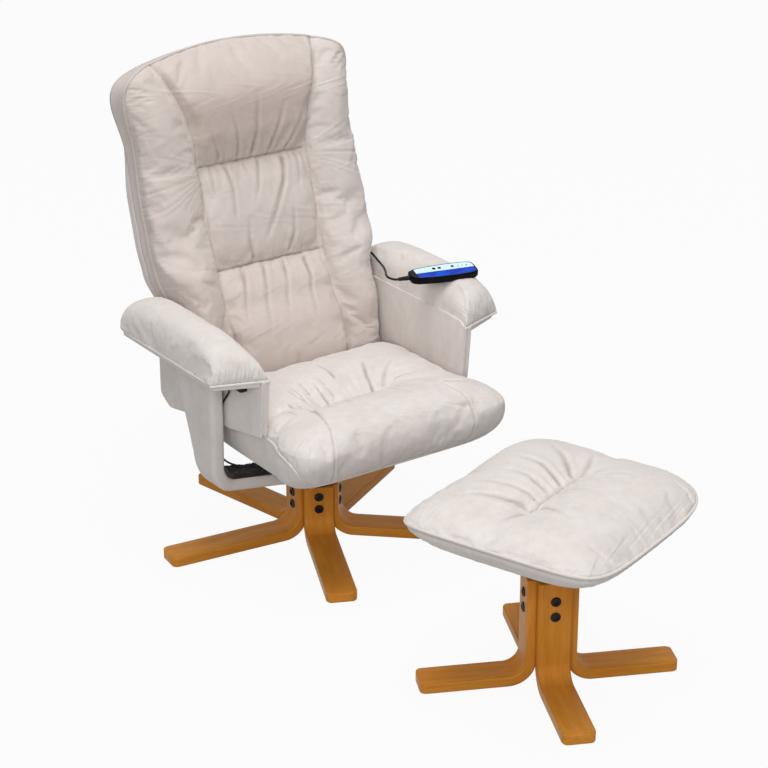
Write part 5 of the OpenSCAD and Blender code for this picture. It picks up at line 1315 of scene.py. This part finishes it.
def leg_stations(star):
    """Length of a leg along its outer bend, and the runs at which its sections stand."""
    rise = star["top_z"] - GLIDE_H - LEG_BEND_R
    arc = LEG_BEND_R * math.pi / 2
    total = rise + arc + star["reach"] - star["in_r"] - LEG_BEND_R
    top = [0, 0.0005, 0.0012, 0.0026] + list(np.linspace(0.008, rise - 0.002, 6))
    bend = list(rise + arc * np.linspace(0, 1, 15))
    tip = [total - LEG_TIP_R * share for share in LEG_TIP_SHARES]
    return total, top + bend + list(np.linspace(rise + arc + 0.008, tip[0] - 0.008, 9)) + tip


def arc_inset(radius, run):
    """How far a quarter round of this radius lies in from its flat side, at a run from its start."""
    return radius - np.sqrt(np.clip(radius ** 2 - (radius - np.minimum(run, radius)) ** 2, 0, None))


def leg_place(star, angle, centre, seed):
    """Gives the points of a leg. seed sets its grain apart from the other legs'."""
    total, stations = leg_stations(star)
    slope = math.tan(math.pi / star["sides"])
    mitre = LEG_GAP / math.sin(math.pi / star["sides"])
    section = round_bar(LEG_W / 2, LEG_T, LEG_EDGE_R)

    def place(u, v):
        s = at_steps(v, stations)
        across, d = at_steps(u, [p[0] for p in section]), at_steps(u, [p[1] for p in section])
        left = total - s
        inset = arc_inset(LEG_EDGE_R, np.minimum(s, left)) * np.where(s < left, 0.5, 1.0)
        d = LEG_T / 2 + (d - LEG_T / 2) * (1 - 2 * inset / LEG_T)
        x, z = leg_point(star, s, d)
        half = np.minimum(LEG_W / 2 - arc_inset(LEG_TIP_R, left), (x - mitre) * slope) - inset
        y = across * half / (LEG_W / 2)
        points = turned(np.stack([x, y, z], axis=1), angle, centre)
        return points, np.stack([s + seed * 0.37, y + seed * 0.11, d], axis=1)

    return place, (len(section) - 1, len(stations) - 1)


def make_legs():
    for k, angle in enumerate(CHAIR_TURNS):
        bm = bmesh.new()
        place, cells = leg_place(CHAIR_STAR, angle, CHAIR_CENTRE, k)
        sleeve(bm, cells, place)
        place_piece(bm, f"chair_leg_{k + 1}", "star_base", "amber_wood", [f"base_leg_{k + 1}"], LEG_SHARP)
    bm = bmesh.new()
    for k, angle in enumerate(STOOL_TURNS):
        place, cells = leg_place(STOOL_STAR, angle, STOOL_CENTRE, k + 6)
        sleeve(bm, cells, place)
    place_piece(bm, "footstool_legs", "stool", "amber_wood", ["stool_legs"], LEG_SHARP)


# Recessed hexagon caps of the leg bolts: distance out of the wood, radius, and how hexagonal
CAP_RINGS = [(-0.002, 0.0096, 0), (0.0000, 0.0100, 0), (0.0016, 0.0100, 0), (0.0026, 0.0094, 0),
             (0.0030, 0.0084, 0), (0.0030, 0.0064, 0), (0.0029, 0.0054, 1), (0.0026, 0.0050, 1),
             (0.0002, 0.0048, 1), (0.0001, 0.0020, 1)]
CAP_SIDES = 36


def make_bolt_cap(bm, star, angle, centre, height):
    def place(u, v):
        out, radius, hexed = (at_steps(v, [ring[i] for ring in CAP_RINGS]) for i in range(3))
        turn = 2 * math.pi * u
        flat = 1 / np.cos((turn + math.pi / 6) % (math.pi / 3) - math.pi / 6)
        radius = radius * (1 + hexed * (flat - 1))
        x = star["in_r"] + LEG_T + out
        points = np.stack([x, radius * np.sin(turn), height + radius * np.cos(turn)], axis=1)
        return turned(points, angle, centre), points

    sleeve(bm, (CAP_SIDES, len(CAP_RINGS) - 1), place)


def make_bolt_caps():
    for name, body, node, star, turns, centre in (
            ("chair_bolt_caps", "star_base", "base_bolts", CHAIR_STAR, CHAIR_TURNS, CHAIR_CENTRE),
            ("footstool_bolt_caps", "stool", "stool_bolts", STOOL_STAR, STOOL_TURNS, STOOL_CENTRE)):
        bm = bmesh.new()
        for angle in turns:
            for height in star["bolts"]:
                make_bolt_cap(bm, star, angle, centre, height)
        place_piece(bm, name, body, "bolt_cap", [node], 32)


make_legs()
make_bolt_caps()


# Yoke: a padded U whose section narrows up the posts
YOKE_HALF_W = YOKE_HIGH[0]
YOKE_T = 0.031
YOKE_BEND_R = 0.0705
YOKE_SLOPE = math.radians(9.5)
YOKE_FLAT = 0.070
YOKE_Z = YOKE_LOW[2]
YOKE_TOP_Z = YOKE_HIGH[2]
YOKE_ARC_X = YOKE_HALF_W - YOKE_BEND_R
YOKE_ARC_Z = YOKE_Z + (YOKE_BEND_R + (YOKE_ARC_X - YOKE_FLAT) * math.sin(YOKE_SLOPE)) / math.cos(YOKE_SLOPE)
# Run down the U from the top of a post: front and rear of the covered bar there
YOKE_DEPTHS = [(0, -.076, .088), (.082, -.076, .064), (.135, -.076, .044), (.161, -.076, .033),
               (.197, -.075, .020), (.240, -.074, .006), (.285, -.070, .001), (.327, -.064, .001),
               (.416, -.062, .004), (.467, -.062, .038), (.560, -.062, .040)]
# Lengths along the outside of half the U: down the post, round the bend, down the slope, and all
YOKE_RISE = YOKE_TOP_Z - YOKE_ARC_Z
YOKE_BEND = math.pi / 2 - YOKE_SLOPE
YOKE_ARC = YOKE_BEND_R * YOKE_BEND
YOKE_LINE = (YOKE_ARC_X - YOKE_BEND_R * math.sin(YOKE_SLOPE) - YOKE_FLAT) / math.cos(YOKE_SLOPE)
YOKE_RUN = YOKE_RISE + YOKE_ARC + YOKE_LINE + YOKE_FLAT
YOKE_SETTLE = 0.02
YOKE_CORNER = 0.011
# The drawn section of the cover, of width and thickness 1: its corner, and how much of its side is flat
DRAWN_CORNER = 0.30
DRAWN_FLAT = 0.5 - DRAWN_CORNER
YOKE_SECTIONS = 210


def yoke_side_point(run, d):
    """Front view of the right half of the U, from its top down: X and Z at a run along its outside."""
    turn = np.clip((run - YOKE_RISE) / YOKE_BEND_R, 0, YOKE_BEND)
    x = -YOKE_ARC_X - (YOKE_BEND_R - d) * np.cos(turn)
    z = YOKE_ARC_Z - (YOKE_BEND_R - d) * np.sin(turn) + np.maximum(0, YOKE_RISE - run)
    past = np.clip(run - YOKE_RISE - YOKE_ARC, 0, YOKE_LINE)
    x, z = x + past * math.cos(YOKE_SLOPE), z - past * math.sin(YOKE_SLOPE)
    flat = np.maximum(0, run - YOKE_RISE - YOKE_ARC - YOKE_LINE)
    settle = np.clip(flat / YOKE_SETTLE, 0, 1)
    return x + flat - d * math.sin(YOKE_SLOPE) * settle, z + d * (1 - math.cos(YOKE_SLOPE)) * settle


def yoke_depths(run):
    return (smooth_table([row[:2] for row in YOKE_DEPTHS], run),
            smooth_table([(row[0], row[2]) for row in YOKE_DEPTHS], run))


def make_yoke():
    section = round_bar(0.5, 1.0, DRAWN_CORNER, (8, 6))

    def stretch(share, size):
        """Moves the section's shares so that its corners keep their size at any width."""
        corner = YOKE_CORNER / size
        flat = share / DRAWN_FLAT * (0.5 - corner)
        bent = np.sign(share) * (0.5 - (0.5 - np.abs(share)) * corner / DRAWN_CORNER)
        return np.where(np.abs(share) < DRAWN_FLAT, flat, bent)

    def place(u, v):
        across, through = at_steps(u, [p[0] for p in section]), at_steps(u, [p[1] for p in section])
        run = v * 2 * YOKE_RUN
        own = np.minimum(run, 2 * YOKE_RUN - run)
        front, rear = yoke_depths(own)
        y = front + (rear - front) * (stretch(across, rear - front) + 0.5)
        b = stretch(through - 0.5, YOKE_T) + 0.5
        ruck = rumple(run, y, 0.0014, across=(26, 3, 30), along=(45, 8), seeds=(1, 3))
        lip = np.minimum(y - front, rear - y)
        lip_folds = gathers(run, lip, pitch=0.011, reach=0.022, depth=0.0034, seed=2.0)
        ruck = ruck + lip_folds * ease((own - 0.22) / 0.05) * (b > 0.4)
        on_face = np.abs(b - 0.5) > 0.3
        x, z = yoke_side_point(own, YOKE_T * b + np.where(b > 0.5, ruck, -ruck) * on_face)
        points = np.stack([np.where(run > YOKE_RUN, -x, x), y, z], axis=1)
        return points, points

    bm = bmesh.new()
    sleeve(bm, (len(section) - 1, YOKE_SECTIONS), place)
    cover = place_piece(bm, "yoke_padding", "chair_frame", "suede", ["yoke_cover"], 80)


# The lining lies in the trough from below the post to the middle, cut this much longer than it lies
LINING_START = YOKE_RISE + 0.004
LINING_END = YOKE_RUN - 0.006
LINING_CELLS = (46, 90)


def lining_place(side):
    def place(u, v, k):
        run = lerp(LINING_START, LINING_END, (v + 1) / 2)
        front, rear = yoke_depths(run)
        y = lerp(front + 0.002, rear - 0.004, (u + 1) / 2)
        away = np.minimum(1 - np.abs(u), 1 - np.abs(v))
        folds = np.abs(soft_wave(run * 46 + 4 * soft_wave(y * 40, 2), 1 + side)) ** 0.6
        folds = folds + 0.6 * np.abs(soft_wave(y * 90 + 5 * soft_wave(run * 30, 4), 2)) ** 0.7
        lip = np.clip(np.minimum(y - front, rear - y) / YOKE_CORNER, 0, 1)
        sunk = YOKE_CORNER * (1 - np.sqrt(1 - (1 - lip) ** 2))
        x, z = yoke_side_point(run, YOKE_T + 0.0030 - sunk + 0.0055 * folds * ease(away / 0.2))
        return np.stack([x * -side, y, z], axis=1)
    return place


def make_lining():
    for side, word in ((1, "right"), (-1, "left")):
        piece = skin_grid(f"yoke_lining_{word}", LINING_CELLS, 0, lining_place(-side))
        smooth_faces(piece.data)
        piece.data.materials.append(MATERIALS["black_cloth"])
        attach(piece, "chair_frame", ["yoke_lining"] if side == 1 else ())


make_yoke()
make_lining()


# Covered panels and boards
def prism(points, to_place, edge_r, steps=3):
    """A slab with rounded edges: an outline, and the two sides that to_place(a, b, side) gives."""
    bm = bmesh.new()
    verts = [bm.verts.new(to_place(a, b, 0)) for a, b in points]
    face = bm.faces.new(verts)
    grown = bmesh.ops.extrude_face_region(bm, geom=[face])["geom"]
    moved = [g for g in grown if isinstance(g, bmesh.types.BMVert)]

    def first_at(vert):
        return min(range(len(verts)), key=lambda i: (verts[i].co - vert.co).length)

    for vert, (a, b) in zip(sorted(moved, key=first_at), points):
        vert.co = to_place(a, b, 1)
    bmesh.ops.recalc_face_normals(bm, faces=bm.faces)
    bmesh.ops.bevel(bm, geom=list(bm.edges), offset=edge_r, offset_type="OFFSET", segments=steps, profile=0.5,
                    affect="EDGES", clamp_overlap=True, material=-1)
    return bm


def rounded(points, radii, steps=5):
    """Cuts the corners of an outline with arcs."""
    out = []
    for i, (p, r) in enumerate(zip(points, radii)):
        a, b = Vector(points[i - 1]), Vector(points[(i + 1) % len(points)])
        q = Vector(p)
        if r <= 0:
            out.append(tuple(q))
            continue
        ua, ub = (a - q).normalized(), (b - q).normalized()
        reach = r / math.tan(ua.angle(ub) / 2)
        start, end = q + ua * reach, q + ub * reach
        for k in range(steps + 1):
            t = k / steps
            out.append(tuple(start * (1 - t) ** 2 + q * 2 * t * (1 - t) + end * t * t))
    return out


PANEL_T = PANEL_HIGH[0] - PANEL_LOW[0]
PANEL_PIPING_R = 0.0024
PANEL_EDGE_R = 0.0045
PANEL_OUTLINE = [(-.150, ARM_PAD_Z + .014), (-.195, ARM_PAD_Z + .011), (-.215, ARM_PAD_Z - .001),
                 (-.201, SEAT_Z + .095), (-.058, SEAT_Z + .068), (.091, SEAT_Z + .043), (.168, SEAT_Z + .029),
                 (.206, SEAT_Z + .051), (.206, ARM_PAD_Z + .014)]
PANEL_RADII = [0, 0, 0, 0.012, 0, 0, 0.030, 0.020, 0.004]
BOARD_T = 0.012
BOARD_Z = ARM_PAD_Z - BOARD_T
BOARD_IN_X = ARM_IN_X + PANEL_T + 0.0005
BOARD_EDGE_R = 0.0028
BOARD_OUTLINE = [(BOARD_IN_X, ARM_FRONT_Y + .006), (BOARD_IN_X, ARM_REAR_Y - .008),
                 (ARM_OUT_X - .024, ARM_REAR_Y - .008), (ARM_OUT_X - .007, ARM_REAR_Y - .032),
                 (ARM_OUT_X - .006, ARM_FRONT_Y + ARM_SLANT + .004)]
BOARD_RADII = [0.002, 0.004, 0.014, 0.014, 0.010]
COVERED_SHARP = 60


def make_panels():
    for flip, word in ((1, "left"), (-1, "right")):
        upright = prism(rounded(PANEL_OUTLINE, PANEL_RADII), lambda a, b, side: (
            flip * (PANEL_LOW[0] - 0.0004 + side * (PANEL_T + 0.0002)), a, b), PANEL_EDGE_R)
        panel = place_piece(upright, f"side_panel_cover_{word}", "chair_frame", "suede",
                            [f"side_panel_{word}"], COVERED_SHARP)
        level = prism(rounded(BOARD_OUTLINE, BOARD_RADII), lambda a, b, side: (
            flip * a, b, BOARD_Z + side * BOARD_T), BOARD_EDGE_R)
        board = place_piece(level, f"arm_board_cover_{word}", "chair_frame", "suede",
                            [f"arm_board_{word}"], COVERED_SHARP)
        edge = smooth_route([(flip * (PANEL_HIGH[0] - 0.002), a, b) for a, b in PANEL_SEAM_OUT], CORD_STEPS)
        piping(f"panel_piping_{word}", edge, "chair_frame", closed=False, radius=PANEL_PIPING_R)


make_panels()


# Small lamps on the handset's faceplate: how far past the blue key, and their colour
LAMPS = [("green", 0.0130, (0.06, 0.46, 0.08)), ("amber", 0.0225, (0.80, 0.50, 0.04)),
         ("red", 0.0326, (0.72, 0.03, 0.03))]
LAMP_R = 0.0019
LAMP_ASIDE = 0.002


def make_lamps():
    first, last = middle_of("key_left"), middle_of("key_power")
    along = (last - first).normalized()
    up = -Vector(JOINTS["key_power_press"]["axis"]).normalized()
    middle = middle_of("handset_keys_plate")
    for colour, past, tone in LAMPS:
        place = last + along * past - up.cross(along) * LAMP_ASIDE
        place = place + up * (middle - place).dot(up)
        bm = bmesh.new()
        bmesh.ops.create_uvsphere(bm, u_segments=16, v_segments=8, radius=LAMP_R)
        bmesh.ops.translate(bm, verts=bm.verts, vec=place)
        place_piece(bm, f"handset_lamp_{colour}", "chair_frame", "handset_plate",
                    material=hard_material(f"lamp_{colour}", tone, tone, 0.2))


make_lamps()


# Rear cover of the back
COVER_OUT = 0.042
COVER_RINGS = 7
COVER_HALF_ROWS = [(0, .239), (.213, .239), (.300, .262), (.355, .266), (.462, .265), (.568, .255),
                   (.655, .245), (.761, .238)]
COVER_TOP_W = 0.246
COVER_CORNERS = (14, 5.0)
COVER_EDGE_R = 0.016
COVER_FOOT_B = 0.024
COVER_DISH = 0.004
COVER_FLOOR = 0.0012
COVER_WALL_START = 0.15
COVER_CELLS = (70, 110)


def cover_place(u, v, k):
    """From the flat rear face, ring by ring round the edge to the seam with the front cushion."""
    u, v = edge_dense(u), edge_dense(v, 0.5)
    px, py = two_corners(u, v, v > 0, *COVER_CORNERS)
    t = k / COVER_RINGS
    round_off = COVER_EDGE_R * (1 - np.sin(np.clip(t * 1.6, 0, 1) * math.pi / 2))
    b = COVER_FOOT_B + (py + 1) / 2 * (back_top_b(px * COVER_TOP_W) - COVER_FOOT_B - 0.002)
    x = px * (rows_at(COVER_HALF_ROWS, b) - round_off)
    b = b - round_off * np.sign(py) * np.abs(py) ** 6
    full = COVER_OUT - COVER_DISH * np.maximum(np.abs(u), np.abs(v)) ** 4
    down = np.clip((t - COVER_WALL_START) / (1 - COVER_WALL_START), 0, 1)
    depth = np.where(k > 0.5, full - (full - COVER_FLOOR) * down, full)
    y, z = back_pt(b, depth)
    return np.stack([x, y, z], axis=1)


def make_back_cover():
    piece = skin_grid("back_cover_skin", COVER_CELLS, COVER_RINGS, cover_place)
    face_outwards(piece)
    refine(piece)
    u, v, k = shares_of(piece)
    x, _, z = points_of(piece).T
    depth = rumple(x, z, 0.0010, across=(22, 3, 15), along=(24, 3), seeds=(3, 6))
    from_edge = rim_share(u, v) * 0.3
    depth += gathers(round_rim(u, v, x, z), from_edge, pitch=0.014, reach=0.030, depth=0.0012, seed=2.2)
    press(piece, depth * np.clip(1 - k * 0.5, 0, 1))
    finish_pad(piece, "backrest", "back_cover")
    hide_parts("back_board")


make_back_cover()


# Studio
FLOOR_GREY = 0.45
FLOOR_HALF = 30
FLOOR_GLOW = 0.95
AMBIENT = 0.38
# Name, size, power, place and aim
LIGHTS = [("overhead", (4.0, 4.0), 290, (-0.4, -1.0, 7.0), (0, -0.2, 0.3)),
          ("front_fill", (3.0, 3.0), 160, (-4.2, -5.0, 3.4), (0, -0.2, 0.4))]


def make_light(name, size, power, place, aim):
    data = bpy.data.lights.new(name, "AREA")
    data.shape = "RECTANGLE"
    data.size, data.size_y = size
    data.energy = power
    lamp = bpy.data.objects.new(name, data)
    lamp.location = place
    lamp.rotation_euler = (Vector(aim) - Vector(place)).to_track_quat("-Z", "Y").to_euler()
    link(lamp)


def make_studio():
    world = bpy.data.worlds.new("studio")
    bpy.context.scene.world = world
    world.use_nodes = True
    tree = world.node_tree
    background = tree.nodes["Background"]
    rays = tree.nodes.new("ShaderNodeLightPath")
    mirrored = math_node(tree, "MAXIMUM", rays.outputs["Is Glossy Ray"], rays.outputs["Is Transmission Ray"])
    seen = math_node(tree, "MAXIMUM", rays.outputs["Is Camera Ray"], mirrored)
    tree.links.new(map_node(tree, seen, 0, 1, AMBIENT, 1.0), background.inputs["Strength"])
    background.inputs["Color"].default_value = (1, 1, 1, 1)
    for light in LIGHTS:
        make_light(*light)


def make_floor():
    bm = bmesh.new()
    bmesh.ops.create_grid(bm, x_segments=1, y_segments=1, size=FLOOR_HALF)
    mesh = bpy.data.meshes.new("floor")
    bm.to_mesh(mesh)
    bm.free()
    floor = bpy.data.objects.new("floor", mesh)
    link(floor)
    material = bpy.data.materials.new("pale_floor")
    material.use_nodes = True
    tree = material.node_tree
    shader = tree.nodes["Principled BSDF"]
    set_sockets(shader, Base_Color=(FLOOR_GREY, FLOOR_GREY, FLOOR_GREY, 1), Roughness=0.9,
                Specular_IOR_Level=0.0)
    glow = add_node(tree, "ShaderNodeEmission", Strength=1.0)
    mix = tree.nodes.new("ShaderNodeMixShader")
    rays = tree.nodes.new("ShaderNodeLightPath")
    seen = math_node(tree, "MAXIMUM", rays.outputs["Is Camera Ray"], rays.outputs["Is Glossy Ray"])
    tree.links.new(math_node(tree, "MULTIPLY", seen, FLOOR_GLOW), mix.inputs[0])
    tree.links.new(shader.outputs[0], mix.inputs[1])
    tree.links.new(glow.outputs[0], mix.inputs[2])
    tree.links.new(mix.outputs[0], tree.nodes["Material Output"].inputs["Surface"])
    mesh.materials.append(material)


make_studio()
make_floor()
